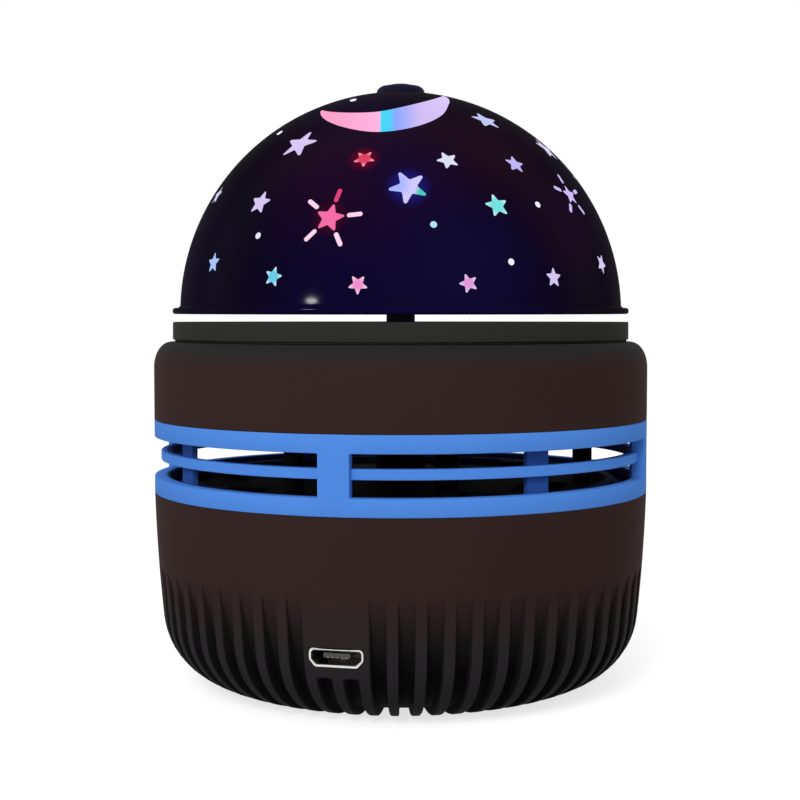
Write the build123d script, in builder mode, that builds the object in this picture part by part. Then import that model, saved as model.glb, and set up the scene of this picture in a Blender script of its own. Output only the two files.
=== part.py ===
from build123d import *
import os
from math import acos, asin, atan, cos, pi, radians, sin, tan

# Star night light projector: a dome with star and moon windows that turns on a
# spindle above a round base. The base holds the lamps, the motor and its gears.
# Millimetres, +Z up, origin at the middle of the base's underside. The power
# inlet faces -Y, and azimuths are counted from there towards +X.

# ---- driving dimensions ----
BODY_R = 37.5            # the base's greatest radius
HOUSING_TOP = 29.3       # top of the ribbed lower housing
RING_TOP = 40.2          # top of the blue vent ring
SHOULDER_TOP = 51.8      # top of the upper housing
COLLAR_TOP = 54.8
COLLAR_R = 34.65
DOME_R = 33.55
DOME_CENTRE = 55.97      # height of the dome's centre, at the flange's underside
FLANGE_R = 34.66
FLANGE_BOTTOM = 55.97
FLANGE_TOP = 56.87
FLANGE_ROOT = 0.3        # chamfer between the flange and the dome's wall
CAP_R = 3.7
CAP_TOP = 90.6
CAP_DISC_R = 1.6
CAP_DISC_TOP = 90.85

MASK_THICKNESS = 0.8     # dark outer shell of the dome
DIFFUSER_THICKNESS = 1.0
SKIN_GAP = 0.05          # between pieces of one body that lie on each other

SPINDLE_R = 2.19         # the part seen between base and dome
JOURNAL_R = 1.5          # the part that runs in the bushes
RUNNING_GAP = 0.05       # radial, between a shaft and its bush
STUD_R = 1.4             # threaded top end of the spindle
SPINDLE_SHOULDER = 42.3
SPINDLE_BOTTOM = 25.8
HUB_SEAT = 86.0          # where the spindle carries the dome's hub

RIB_COUNT = 60
CHANNEL_WIDTH_DEG = 3.5
CHANNEL_TOP = 19.0
SHORT_CHANNEL_TOP = 7.6  # the two channels under the power inlet
CORNER_INNER_R = 22.8    # flat underside ends here
LOW_ARC_R = 17.0         # the bowl's lower corner is two tangent arcs
HIGH_ARC_R = 11.1
LOW_ARC_TURN = 24.5
CORNER_TURN = 85.0
CHANNEL_DEPTH = 1.2      # under the bowl
LOW_ARC_DEPTH = 1.5      # how much smaller the arcs of the channels' floor are
HIGH_ARC_DEPTH = 1.8

BAND_INNER_R = 35.3
LOWER_BAND_TOP = 31.8
MIDDLE_BOTTOM = 34.15
MIDDLE_TOP = 35.6
UPPER_BAND_BOTTOM = 37.65
MIDDLE_R = 36.5
MIDDLE_INNER_R = 34.9
PILLAR_DEG = 6.7
BACK_POST_WIDTH = 3.5
BACK_POST_R = 35.5
BACK_POST_INNER_R = 34.7

DECK_BOTTOM = 29.0
DECK_TOP = 30.2
DECK_R = 34.2
DECK_RIM_R = 32.6
DECK_RIM_TOP = 31.2
TUBE_R = 3.85
UPPER_DECK_BOTTOM = 40.3
UPPER_DECK_TOP = 41.5
UPPER_DECK_R = 35.2
POST_R = 1.4
POST_CIRCLE = 28.0
POST_AZIMUTHS = (-18.3, 101.7, 221.7)
LOWER_WINDOWS = ((18.5, 25.5, -9.0, 4.0), (-22.5, -16.0, -20.0, -14.5))
UPPER_WINDOWS = ((23.5, 31.0, -9.0, 3.0), (-31.0, -23.5, -6.0, 6.0))
WINDOW_CORNER = 1.0      # fillet of the cooling windows in both decks
BASE_SCREW_CIRCLE = 27.0
BASE_SCREW_AZIMUTHS = (30, 150, 270)
LEAD_X = 10.2
LEAD_Y = -14.0
LEAD_R = 1.1
SLEEVE_R = 1.8

LED_BOARD_BOTTOM = 46.0
LED_BOARD_TOP = 47.2
LED_BOARD_R = 22.0
LED_CIRCLE = 8.5
LED_R = 2.5
LED_TOP = 52.2
COVER_BOTTOM = 53.1
COVER_TOP = 54.4
COVER_R = 32.4

MODULE = 0.4
WHEEL_TEETH = 60
PINION_TEETH = 12
CENTRE_DISTANCE = MODULE * (WHEEL_TEETH + PINION_TEETH) / 2
TOOTH_THINNING = 0.10    # backlash taken off each tooth's thickness
PIN_R = 0.75
MOTOR_LEVEL = 21.4       # motor pinion and first wheel
SECOND_LEVEL = 23.7      # first gear's pinion and second wheel
OUTPUT_LEVEL = 26.2      # second gear's pinion and the output wheel
WHEEL_HEIGHT = 1.8
PLATE_BOTTOM = 19.4
PLATE_TOP = 20.9
MOTOR_R = 10.0
MOTOR_BOTTOM = 6.4
MOTOR_SHAFT_R = 1.0
PLATE_SCREW_POINTS = ((3.0, -16.0), (14.0, 10.0), (-18.0, 21.0))

BOARD_BOTTOM = 8.0
BOARD_TOP = 9.2
USB_Z = 10.45
USB_WIDTH = 7.5
USB_HEIGHT = 2.5
USB_FACE_Y = -36.35
USB_BACK_Y = -30.8
TONGUE_HALF = 3.9        # the board's tongue under the inlet
TONGUE_FRONT = -34.4

os.makedirs("parts", exist_ok=True)

# ---- gear centres ----
SPINDLE_AT = (0.0, 0.0)


def step_from(point, angle, distance):
    return (point[0] + distance * cos(radians(angle)), point[1] + distance * sin(radians(angle)))


SECOND_ANGLE = -150      # from the spindle to the second gear
FIRST_ANGLE = 90         # from the second gear to the first
MOTOR_ANGLE = 45         # from the first gear to the motor
SECOND_AT = step_from(SPINDLE_AT, SECOND_ANGLE, CENTRE_DISTANCE)
FIRST_AT = step_from(SECOND_AT, FIRST_ANGLE, CENTRE_DISTANCE)
MOTOR_AT = step_from(FIRST_AT, MOTOR_ANGLE, CENTRE_DISTANCE)


# ---- helpers ----
def save(part, name):
    part.label = name
    export_step(part, f"parts/{name}.step")


def at_azimuth(radius, azimuth, z=0.0):
    a = radians(azimuth)
    return (radius * sin(a), -radius * cos(a), z)


def disc(radius, bottom, top, centre=(0, 0), mode=Mode.ADD):
    with BuildSketch(Plane.XY.offset(bottom)) as profile:
        with Locations(centre):
            Circle(radius)
    extrude(profile.sketch, amount=top - bottom, mode=mode)


def tube(outer, inner, bottom, top, centre=(0, 0)):
    with BuildSketch(Plane.XY.offset(bottom)) as profile:
        with Locations(centre):
            Circle(outer)
            Circle(inner, mode=Mode.SUBTRACT)
    extrude(profile.sketch, amount=top - bottom)


def block(x0, x1, y0, y1, z0, z1, mode=Mode.ADD):
    with BuildSketch(Plane.XY.offset(z0)) as profile:
        with Locations(((x0 + x1) / 2, (y0 + y1) / 2)):
            Rectangle(x1 - x0, y1 - y0)
    extrude(profile.sketch, amount=z1 - z0, mode=mode)


def cut_windows(windows, bottom, top):
    for x0, x1, y0, y1 in windows:
        with BuildSketch(Plane.XY.offset(bottom)) as profile:
            with Locations(((x0 + x1) / 2, (y0 + y1) / 2)):
                RectangleRounded(x1 - x0, y1 - y0, WINDOW_CORNER)
        extrude(profile.sketch, amount=top - bottom, mode=Mode.SUBTRACT)


def turned(*points):
    with BuildSketch(Plane.XZ) as profile:
        with BuildLine():
            Polyline(*points, close=True)
        make_face()
    revolve(profile.sketch, axis=Axis.Z)


# ---- dome ----
def dome_point(radius, angle):
    return (radius * cos(angle), DOME_CENTRE + radius * sin(angle))


def dome_arc(radius, hole_radius, foot):
    foot_angle = asin((foot - DOME_CENTRE) / radius)
    top_angle = acos(hole_radius / radius)
    foot_point = dome_point(radius, foot_angle)
    top_point = dome_point(radius, top_angle)
    ThreePointArc(foot_point, dome_point(radius, (foot_angle + top_angle) / 2), top_point)
    return foot_point, top_point


def dome_shell(outer, inner, hole_radius, foot):
    with BuildSketch(Plane.XZ) as profile:
        with BuildLine():
            outer_foot, outer_top = dome_arc(outer, hole_radius, foot)
            inner_foot, inner_top = dome_arc(inner, hole_radius, foot)
            Line(outer_top, inner_top)
            Line(inner_foot, outer_foot)
        make_face()
    revolve(profile.sketch, axis=Axis.Z)


def window_plane(azimuth, latitude):
    a = radians(azimuth)
    b = radians(latitude)
    out = Vector(sin(a) * cos(b), -cos(a) * cos(b), sin(b))
    start = Vector(0, 0, DOME_CENTRE) + out * (DOME_R - 3)
    return Plane(origin=start, x_dir=(cos(a), sin(a), 0), z_dir=out)


def star_outline(reach, tip_angle):
    """Star whose rounded tips end at this reach."""
    waist = BIG_STAR_WAIST if reach > 2.6 else STAR_WAIST
    rounding = reach * 0.09
    half_tip = atan(waist * sin(pi / 5) / (1 - waist * cos(pi / 5)))
    sharp_reach = reach + rounding * (1 / sin(half_tip) - 1)
    points = []
    for i in range(10):
        distance = sharp_reach if i % 2 == 0 else reach * waist
        angle = radians(tip_angle + 36 * i)
        points.append((distance * cos(angle), distance * sin(angle)))
    with BuildSketch(mode=Mode.PRIVATE) as star:
        Polygon(*points, align=None)
        fillet(star.vertices(), rounding)
    return star.sketch


STAR_WAIST = 0.5
BIG_STAR_WAIST = 0.43
RAY_WIDTH = 0.66
DOT_WIDTH = 0.96
HOLE_DEPTH = 6.0

# Each half of the dome carries the same motifs: azimuth, latitude, reach, angle of one tip.
STARS = (
    (-23.2, 45.2, 2.9, 11), (15.7, 30.4, 2.8, 44), (53.6, 55.6, 2.3, 14), (80.5, 46.2, 2.5, 10),
    (-55.3, 31.1, 1.6, 20), (2.7, 38.9, 1.5, 57), (27.8, 38.5, 1.6, 39), (50.9, 38.3, 1.6, 8),
    (-27, 27.2, 1.85, 11), (39.3, 25.8, 1.8, 28), (-39.8, 12.3, 1.5, 20), (-17.6, 8.5, 1.42, 4),
    (3.9, 6.5, 1.35, 53), (29.4, 6.8, 1.33, 38), (52.8, 8.4, 1.4, 16), (75.1, 12.3, 1.5, 62),
    (101, 27, 1.55, 70), (-76, 9, 1.55, 100),
)
# Stars with rays: azimuth, latitude, reach, start and end of the rays, their angles.
SUNS = (
    (-4.2, 22.4, 2.1, 2.4, 4.55, (8.5, 79, 141, 224.5, 297)),
    (70.1, 30.3, 1.65, 1.95, 3.65, (17, 89, 161, 233, 305)),
)
# Dots: azimuth, latitude, length, direction. Those near the crown are a little longer than wide.
DOTS = (
    (21.7, 20.6, 0.96, 0), (52.8, 26.6, 0.96, 0), (-24.2, 18.5, 0.96, 0), (40.6, 11.9, 0.96, 0),
    (88.2, 37, 0.96, 0), (-44.3, 51.7, 1.5, -26), (-20.3, 68.3, 2.0, -54), (101, 58, 0.96, 0),
)
MOON_AT = (4.3, 68)
MOON_ARCS = (
    ((-9.4, -0.7), (-6.5, -8.0), (0.0, -11.4)), ((0.0, -11.4), (6.9, -8.3), (8.9, -0.8)),
    ((8.9, -0.8), (8.7, 3.3), (7.2, 7.6)), ((7.2, 7.6), (5.2, -1.0), (-1.0, -5.6)),
    ((-1.0, -5.6), (-5.6, -4.1), (-9.4, -0.7)),
)


def cut_star(azimuth, latitude, reach, tip_angle):
    with BuildSketch(window_plane(azimuth, latitude)) as window:
        add(star_outline(reach, tip_angle))
    extrude(window.sketch, amount=HOLE_DEPTH, mode=Mode.SUBTRACT)


def cut_slot(azimuth, latitude, middle, length, width, direction):
    with BuildSketch(window_plane(azimuth, latitude)) as slot:
        with Locations(middle):
            if length > width:
                SlotOverall(length, width, rotation=direction)
            else:
                Circle(width / 2)
    extrude(slot.sketch, amount=HOLE_DEPTH, mode=Mode.SUBTRACT)


def cut_sun(azimuth, latitude, reach, ray_start, ray_end, ray_angles):
    cut_star(azimuth, latitude, reach, ray_angles[0])
    distance = (ray_start + ray_end) / 2
    for angle in ray_angles:
        middle = (distance * cos(radians(angle)), distance * sin(radians(angle)))
        cut_slot(azimuth, latitude, middle, ray_end - ray_start, RAY_WIDTH, angle)


def cut_moon(azimuth, latitude):
    with BuildSketch(window_plane(azimuth, latitude)) as moon:
        with BuildLine():
            for arc in MOON_ARCS:
                ThreePointArc(*arc)
        make_face()
        horns = (moon.vertices().sort_by(Axis.X)[0], moon.vertices().sort_by(Axis.Y)[-1])
        fillet(horns, 0.3)
    extrude(moon.sketch, amount=HOLE_DEPTH, mode=Mode.SUBTRACT)


mask_inner_r = DOME_R - MASK_THICKNESS
mask_middle_r = DOME_R - MASK_THICKNESS / 2
stud_hole_r = STUD_R + 0.1
with BuildPart() as star_mask_dome:
    dome_shell(DOME_R, mask_inner_r, stud_hole_r, FLANGE_BOTTOM)
    with BuildSketch(Plane.XZ) as flange:
        with BuildLine():
            Polyline(
                (mask_middle_r, FLANGE_BOTTOM), (FLANGE_R, FLANGE_BOTTOM), (FLANGE_R, FLANGE_TOP),
                (DOME_R + FLANGE_ROOT, FLANGE_TOP), (mask_middle_r, FLANGE_TOP + FLANGE_ROOT + 0.4),
                close=True,
            )
        make_face()
        fillet(flange.vertices().sort_by(Axis.X)[-2:], 0.35)
    revolve(flange.sketch, axis=Axis.Z)
    for turn in (0, 180):
        cut_moon(MOON_AT[0] + turn, MOON_AT[1])
        for star_azimuth, star_latitude, star_reach, star_tip in STARS:
            cut_star(star_azimuth + turn, star_latitude, star_reach, star_tip)
        for sun_azimuth, *sun in SUNS:
            cut_sun(sun_azimuth + turn, *sun)
        for dot_azimuth, dot_latitude, dot_length, dot_direction in DOTS:
            cut_slot(dot_azimuth + turn, dot_latitude, (0, 0), dot_length, DOT_WIDTH, dot_direction)
save(star_mask_dome.part, "star_mask_dome")

diffuser_outer_r = mask_inner_r - SKIN_GAP
diffuser_inner_r = diffuser_outer_r - DIFFUSER_THICKNESS
with BuildPart() as diffuser_dome:
    dome_shell(diffuser_outer_r, diffuser_inner_r, stud_hole_r, FLANGE_BOTTOM + 0.35)
save(diffuser_dome.part, "diffuser_dome")

# The hub fills the diffuser's crown and sits on the spindle's shoulder.
HUB_R = 6.0
HUB_BOTTOM = 83.0
hub_sphere_r = diffuser_inner_r - SKIN_GAP
hub_edge = dome_point(hub_sphere_r, acos(HUB_R / hub_sphere_r))
hub_crown = dome_point(hub_sphere_r, acos(STUD_R / hub_sphere_r))
hub_middle = dome_point(hub_sphere_r, (acos(HUB_R / hub_sphere_r) + acos(STUD_R / hub_sphere_r)) / 2)
with BuildPart() as dome_hub:
    with BuildSketch(Plane.XZ):
        with BuildLine():
            Polyline(
                hub_crown, (STUD_R, HUB_SEAT), (SPINDLE_R, HUB_SEAT), (SPINDLE_R, HUB_BOTTOM),
                (HUB_R, HUB_BOTTOM), hub_edge,
            )
            ThreePointArc(hub_edge, hub_middle, hub_crown)
        make_face()
    revolve(axis=Axis.Z)
save(dome_hub.part, "dome_hub")

# The cap screws onto the spindle's stud and clamps the dome on the hub.
CAP_ROUND = 1.1
CAP_BORE_TOP = 90.25
CAP_BORE_BOTTOM = 89.57
CAP_EDGE_BOTTOM = 89.38
with BuildPart() as top_cap:
    with BuildSketch(Plane.XZ):
        with BuildLine():
            Polyline(
                (STUD_R, CAP_BORE_BOTTOM), (STUD_R, CAP_BORE_TOP), (0, CAP_BORE_TOP), (0, CAP_DISC_TOP),
                (CAP_DISC_R, CAP_DISC_TOP), (CAP_DISC_R, CAP_TOP), (CAP_R - CAP_ROUND, CAP_TOP),
            )
            ThreePointArc(
                (CAP_R - CAP_ROUND, CAP_TOP),
                (CAP_R - CAP_ROUND * (1 - sin(pi / 4)), CAP_TOP - CAP_ROUND * (1 - cos(pi / 4))),
                (CAP_R, CAP_TOP - CAP_ROUND),
            )
            Polyline((CAP_R, CAP_TOP - CAP_ROUND), (CAP_R, CAP_EDGE_BOTTOM), (STUD_R, CAP_BORE_BOTTOM))
        make_face()
    revolve(axis=Axis.Z)
save(top_cap.part, "top_cap")

STUD_TOP = 90.15
with BuildPart() as dome_spindle:
    turned(
        (0, SPINDLE_BOTTOM), (JOURNAL_R, SPINDLE_BOTTOM), (JOURNAL_R, SPINDLE_SHOULDER),
        (SPINDLE_R, SPINDLE_SHOULDER), (SPINDLE_R, HUB_SEAT), (STUD_R, HUB_SEAT),
        (STUD_R, STUD_TOP), (0, STUD_TOP),
    )
save(dome_spindle.part, "dome_spindle")


# ---- gears ----
def involute(angle):
    return tan(angle) - angle


def tooth_outline(teeth):
    pitch_r = MODULE * teeth / 2
    base_r = pitch_r * cos(radians(20))
    tip_r = pitch_r + 0.9 * MODULE
    root_r = pitch_r - 1.2 * MODULE
    half_pitch = pi / (2 * teeth) - TOOTH_THINNING / (2 * pitch_r) + involute(radians(20))
    right = [(root_r - 0.1, half_pitch)]
    flank_start = max(base_r, root_r)
    for part in (0, 0.5, 1):
        radius = flank_start + (tip_r - flank_start) * part
        right.append((radius, half_pitch - involute(acos(min(1.0, base_r / radius)))))
    right[0] = (root_r - 0.1, right[1][1])
    points = [(r * cos(a), -r * sin(a)) for r, a in right]
    points += [(r * cos(a), r * sin(a)) for r, a in reversed(right)]
    return root_r, points


def toothed_disc(teeth, bottom, height, centre, phase):
    root_r, points = tooth_outline(teeth)
    with BuildSketch(Plane.XY.offset(bottom)) as profile:
        with Locations(centre):
            Circle(root_r)
            with PolarLocations(0, teeth, start_angle=phase):
                Polygon(*points, align=None)
    extrude(profile.sketch, amount=height)


def meshing_phase(direction, teeth, phase, other_teeth):
    """Phase of the second gear, which lies in that direction from the first."""
    first = (direction - phase) * teeth / 360
    second = 0.5 - first
    return direction + 180 - second * 360 / other_teeth


output_phase = 0.0
second_pinion_phase = meshing_phase(SECOND_ANGLE, WHEEL_TEETH, output_phase, PINION_TEETH)
second_wheel_phase = 0.0
first_pinion_phase = meshing_phase(FIRST_ANGLE, WHEEL_TEETH, second_wheel_phase, PINION_TEETH)
first_wheel_phase = 0.0
motor_pinion_phase = meshing_phase(MOTOR_ANGLE, WHEEL_TEETH, first_wheel_phase, PINION_TEETH)

with BuildPart() as output_gear:
    toothed_disc(WHEEL_TEETH, OUTPUT_LEVEL, WHEEL_HEIGHT, SPINDLE_AT, output_phase)
    disc(JOURNAL_R, OUTPUT_LEVEL, OUTPUT_LEVEL + WHEEL_HEIGHT, SPINDLE_AT, Mode.SUBTRACT)
save(output_gear.part, "output_gear")


def compound_gear(centre, wheel_level, pinion_level, wheel_phase, pinion_phase):
    pinion_bottom = wheel_level + WHEEL_HEIGHT
    pinion_top = pinion_level + WHEEL_HEIGHT + 0.2
    with BuildPart() as gear:
        toothed_disc(WHEEL_TEETH, wheel_level, WHEEL_HEIGHT, centre, wheel_phase)
        toothed_disc(PINION_TEETH, pinion_bottom, pinion_top - pinion_bottom, centre, pinion_phase)
        disc(PIN_R + RUNNING_GAP, wheel_level, pinion_top, centre, Mode.SUBTRACT)
    return gear.part


save(compound_gear(SECOND_AT, SECOND_LEVEL, OUTPUT_LEVEL, second_wheel_phase, second_pinion_phase), "second_gear")
save(compound_gear(FIRST_AT, MOTOR_LEVEL, SECOND_LEVEL, first_wheel_phase, first_pinion_phase), "first_gear")

MOTOR_SHAFT_BOTTOM = 14.0
MOTOR_SHAFT_TOP = MOTOR_LEVEL + WHEEL_HEIGHT + 0.2
with BuildPart() as motor_shaft:
    disc(MOTOR_SHAFT_R, MOTOR_SHAFT_BOTTOM, MOTOR_SHAFT_TOP, MOTOR_AT)
save(motor_shaft.part, "motor_shaft")

with BuildPart() as motor_pinion:
    toothed_disc(PINION_TEETH, MOTOR_LEVEL, WHEEL_HEIGHT + 0.2, MOTOR_AT, motor_pinion_phase)
    disc(MOTOR_SHAFT_R, MOTOR_LEVEL, MOTOR_SHAFT_TOP, MOTOR_AT, Mode.SUBTRACT)
save(motor_pinion.part, "motor_pinion")

PIN_TOP = DECK_BOTTOM + 0.6
for pin_name, pin_at in (("first_gear_pin", FIRST_AT), ("second_gear_pin", SECOND_AT)):
    with BuildPart() as gear_pin:
        disc(PIN_R, PLATE_BOTTOM + 0.2, PIN_TOP, pin_at)
        disc(PIN_R + 0.8, PLATE_TOP, MOTOR_LEVEL - 0.1, pin_at)
    save(gear_pin.part, pin_name)

# ---- motor ----
CAN_TOP = PLATE_BOTTOM - SKIN_GAP
with BuildPart() as motor_can:
    disc(MOTOR_R, MOTOR_BOTTOM + 1.4, CAN_TOP, MOTOR_AT)
    fillet(motor_can.edges().group_by(Axis.Z)[-1], 0.8)
    disc(3.0, CAN_TOP - 0.1, PLATE_BOTTOM + 1.0, MOTOR_AT)
    disc(MOTOR_SHAFT_R + RUNNING_GAP, MOTOR_SHAFT_BOTTOM - 0.3, PLATE_BOTTOM + 1.0, MOTOR_AT, Mode.SUBTRACT)
save(motor_can.part, "motor_can")

with BuildPart() as motor_end_cap:
    disc(MOTOR_R - 0.6, MOTOR_BOTTOM, MOTOR_BOTTOM + 1.4, MOTOR_AT)
    for side in (-1, 1):
        with BuildSketch(Plane.XY.offset(MOTOR_BOTTOM - 2.0)):
            with Locations((MOTOR_AT[0] + side * 6.5, MOTOR_AT[1])):
                Rectangle(0.5, 2.0)
        extrude(amount=2.0)
save(motor_end_cap.part, "motor_end_cap")

# ---- gearbox plate ----
SCREW_SHANK_R = 0.9
SCREW_HEAD_R = 1.7
with BuildPart() as gearbox_plate:
    with BuildSketch(Plane.XY.offset(PLATE_BOTTOM)):
        with Locations(*PLATE_SCREW_POINTS, FIRST_AT, SECOND_AT):
            Circle(3.2)
        with Locations(MOTOR_AT):
            Circle(MOTOR_R + 2.1)
        make_hull()
    extrude(amount=PLATE_TOP - PLATE_BOTTOM)
    tube(MOTOR_R + 1.3, MOTOR_R + 0.1, PLATE_BOTTOM - 6.0, PLATE_BOTTOM, MOTOR_AT)
    disc(3.1, PLATE_BOTTOM, PLATE_TOP, MOTOR_AT, Mode.SUBTRACT)
    for plate_hole in PLATE_SCREW_POINTS:
        disc(SCREW_SHANK_R + 0.1, PLATE_BOTTOM, PLATE_TOP, plate_hole, Mode.SUBTRACT)
    for pin_hole in (FIRST_AT, SECOND_AT):
        disc(PIN_R, PLATE_BOTTOM + 0.2, PLATE_TOP, pin_hole, Mode.SUBTRACT)
save(gearbox_plate.part, "gearbox_plate")


def pan_screws(points, seat, length, head_height, head_r, up=True):
    """Screws with a shallow cross recess, heads outside the seat, shanks along Z."""
    sign = 1 if up else -1
    with BuildPart() as screws:
        for point in points:
            with BuildSketch(Plane.XY.offset(seat)):
                with Locations(point):
                    Circle(head_r)
            extrude(amount=-sign * head_height)
            with BuildSketch(Plane.XY.offset(seat)):
                with Locations(point):
                    Circle(SCREW_SHANK_R)
            extrude(amount=sign * length)
            with BuildSketch(Plane.XY.offset(seat - sign * head_height)):
                with Locations(point):
                    Rectangle(head_r * 1.2, head_r * 0.3)
                    Rectangle(head_r * 0.3, head_r * 1.2)
            extrude(amount=sign * head_height * 0.5, mode=Mode.SUBTRACT)
    return screws.part


save(pan_screws(PLATE_SCREW_POINTS, PLATE_BOTTOM - 0.02, 6.0, 1.2, SCREW_HEAD_R), "gearbox_screws")

# ---- lower deck: closes the lower housing and carries the gearbox below ----
GEARBOX_POST_R = 2.1
base_screw_points = [at_azimuth(BASE_SCREW_CIRCLE, a)[:2] for a in BASE_SCREW_AZIMUTHS]
post_points = [at_azimuth(POST_CIRCLE, a)[:2] for a in POST_AZIMUTHS]
BUSH_R = 2.9
with BuildPart() as lower_deck:
    disc(DECK_R, DECK_BOTTOM, DECK_TOP)
    tube(DECK_RIM_R, DECK_RIM_R - 1.2, DECK_TOP, DECK_RIM_TOP)
    disc(TUBE_R, DECK_TOP, UPPER_DECK_BOTTOM)
    for post in post_points:
        disc(POST_R, DECK_TOP, UPPER_DECK_BOTTOM, post)
    for post in PLATE_SCREW_POINTS:
        disc(GEARBOX_POST_R, PLATE_TOP, DECK_BOTTOM, post)
    disc(2.0, DECK_BOTTOM, UPPER_DECK_BOTTOM, mode=Mode.SUBTRACT)
    disc(BUSH_R, DECK_BOTTOM, DECK_TOP + 1.0, mode=Mode.SUBTRACT)
    for post in post_points:
        disc(SCREW_SHANK_R, UPPER_DECK_BOTTOM - 6.0, UPPER_DECK_BOTTOM, post, Mode.SUBTRACT)
    for post in PLATE_SCREW_POINTS:
        disc(SCREW_SHANK_R, PLATE_TOP, PLATE_TOP + 5.5, post, Mode.SUBTRACT)
    for post in base_screw_points:
        disc(SCREW_SHANK_R + 0.1, DECK_BOTTOM, DECK_TOP, post, Mode.SUBTRACT)
    for pin_hole in (FIRST_AT, SECOND_AT):
        disc(PIN_R, DECK_BOTTOM, PIN_TOP, pin_hole, Mode.SUBTRACT)
    disc(SLEEVE_R, DECK_BOTTOM, DECK_TOP, (LEAD_X, LEAD_Y), Mode.SUBTRACT)
    cut_windows(LOWER_WINDOWS, DECK_BOTTOM, DECK_TOP)
save(lower_deck.part, "lower_deck")

BUSH_FLANGE_R = 4.2
with BuildPart() as lower_bush:
    tube(BUSH_R, JOURNAL_R + RUNNING_GAP, DECK_BOTTOM - 0.5, DECK_TOP + 1.0)
    tube(BUSH_FLANGE_R, BUSH_R, DECK_BOTTOM - 0.5, DECK_BOTTOM)
save(lower_bush.part, "lower_bush")

# ---- upper deck: floor of the upper housing ----
STANDOFF_CIRCLE = 20.3
standoff_points = [step_from((0, 0), a, STANDOFF_CIRCLE) for a in (30, 150, 270)]
with BuildPart() as upper_deck:
    disc(UPPER_DECK_R, UPPER_DECK_BOTTOM, UPPER_DECK_TOP)
    for standoff in standoff_points:
        disc(2.0, UPPER_DECK_TOP, LED_BOARD_BOTTOM, standoff)
    disc(BUSH_R, UPPER_DECK_BOTTOM, UPPER_DECK_TOP, mode=Mode.SUBTRACT)
    for post in post_points:
        disc(SCREW_SHANK_R + 0.1, UPPER_DECK_BOTTOM, UPPER_DECK_TOP, post, Mode.SUBTRACT)
    for standoff in standoff_points:
        disc(SCREW_SHANK_R, LED_BOARD_BOTTOM - 4.0, LED_BOARD_BOTTOM, standoff, Mode.SUBTRACT)
    disc(SLEEVE_R, UPPER_DECK_BOTTOM, UPPER_DECK_TOP, (LEAD_X, LEAD_Y), Mode.SUBTRACT)
    cut_windows(UPPER_WINDOWS, UPPER_DECK_BOTTOM, UPPER_DECK_TOP)
save(upper_deck.part, "upper_deck")
save(pan_screws(post_points, UPPER_DECK_TOP + 0.02, 6.5, 1.3, 2.0, up=False), "deck_screws")

with BuildPart() as upper_bush:
    tube(BUSH_R, JOURNAL_R + RUNNING_GAP, UPPER_DECK_BOTTOM, UPPER_DECK_TOP + 0.3)
    tube(BUSH_FLANGE_R, BUSH_R, UPPER_DECK_TOP, UPPER_DECK_TOP + 0.3)
save(upper_bush.part, "upper_bush")

with BuildPart() as thrust_washer:
    tube(3.6, JOURNAL_R + RUNNING_GAP, UPPER_DECK_TOP + 0.3, SPINDLE_SHOULDER - 0.08)
save(thrust_washer.part, "thrust_washer")

with BuildPart() as lead_sleeve:
    tube(SLEEVE_R, LEAD_R + 0.1, DECK_BOTTOM, UPPER_DECK_TOP, (LEAD_X, LEAD_Y))
save(lead_sleeve.part, "lead_sleeve")

# ---- lamp board ----
led_names = ("red_led", "green_led", "blue_led", "white_led")
led_points = [step_from((0, 0), 225 + 90 * i, LED_CIRCLE) for i in range(4)]
with BuildPart() as led_board:
    tube(LED_BOARD_R, SPINDLE_R + 1.0, LED_BOARD_BOTTOM, LED_BOARD_TOP)
    for standoff in standoff_points:
        disc(SCREW_SHANK_R + 0.1, LED_BOARD_BOTTOM, LED_BOARD_TOP, standoff, Mode.SUBTRACT)
save(led_board.part, "led_board")
save(pan_screws(standoff_points, LED_BOARD_TOP + 0.02, 4.8, 0.7, 1.5, up=False), "led_board_screws")

for led_name, led_at in zip(led_names, led_points):
    with BuildPart() as led:
        disc(LED_R + 0.4, LED_BOARD_TOP, LED_BOARD_TOP + 0.9, led_at)
        disc(LED_R, LED_BOARD_TOP + 0.9, LED_TOP, led_at)
        fillet(led.edges().group_by(Axis.Z)[-1], LED_R * 0.9)
    save(led.part, led_name)

with BuildPart() as reflector_dish:
    turned(
        (13.5, LED_BOARD_TOP + 0.05), (15.0, LED_BOARD_TOP + 0.05), (31.3, 51.9), (31.3, 52.9),
        (30.3, 52.9), (13.5, LED_BOARD_TOP + 1.1),
    )
save(reflector_dish.part, "reflector_dish")

with BuildPart() as light_cover:
    tube(COVER_R, SPINDLE_R + 0.45, COVER_BOTTOM, COVER_TOP)
save(light_cover.part, "light_cover")

# ---- collar: ring around the light cover, under the dome's flange ----
with BuildPart() as collar_ring:
    with BuildSketch(Plane.XZ) as collar_profile:
        with BuildLine():
            Polyline(
                (31.4, SHOULDER_TOP + 0.1), (COLLAR_R - 0.25, SHOULDER_TOP + 0.1),
                (COLLAR_R - 0.25, SHOULDER_TOP + 0.35), (COLLAR_R, SHOULDER_TOP + 0.35),
                (COLLAR_R, COLLAR_TOP), (COVER_R + 0.1, COLLAR_TOP), (COVER_R + 0.1, COVER_BOTTOM),
                (31.4, COVER_BOTTOM), close=True,
            )
        make_face()
        outer_top = collar_profile.vertices().sort_by(Axis.Y)[-2:].sort_by(Axis.X)[-1]
        fillet(outer_top, 0.4)
    revolve(axis=Axis.Z)
save(collar_ring.part, "collar_ring")

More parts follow.
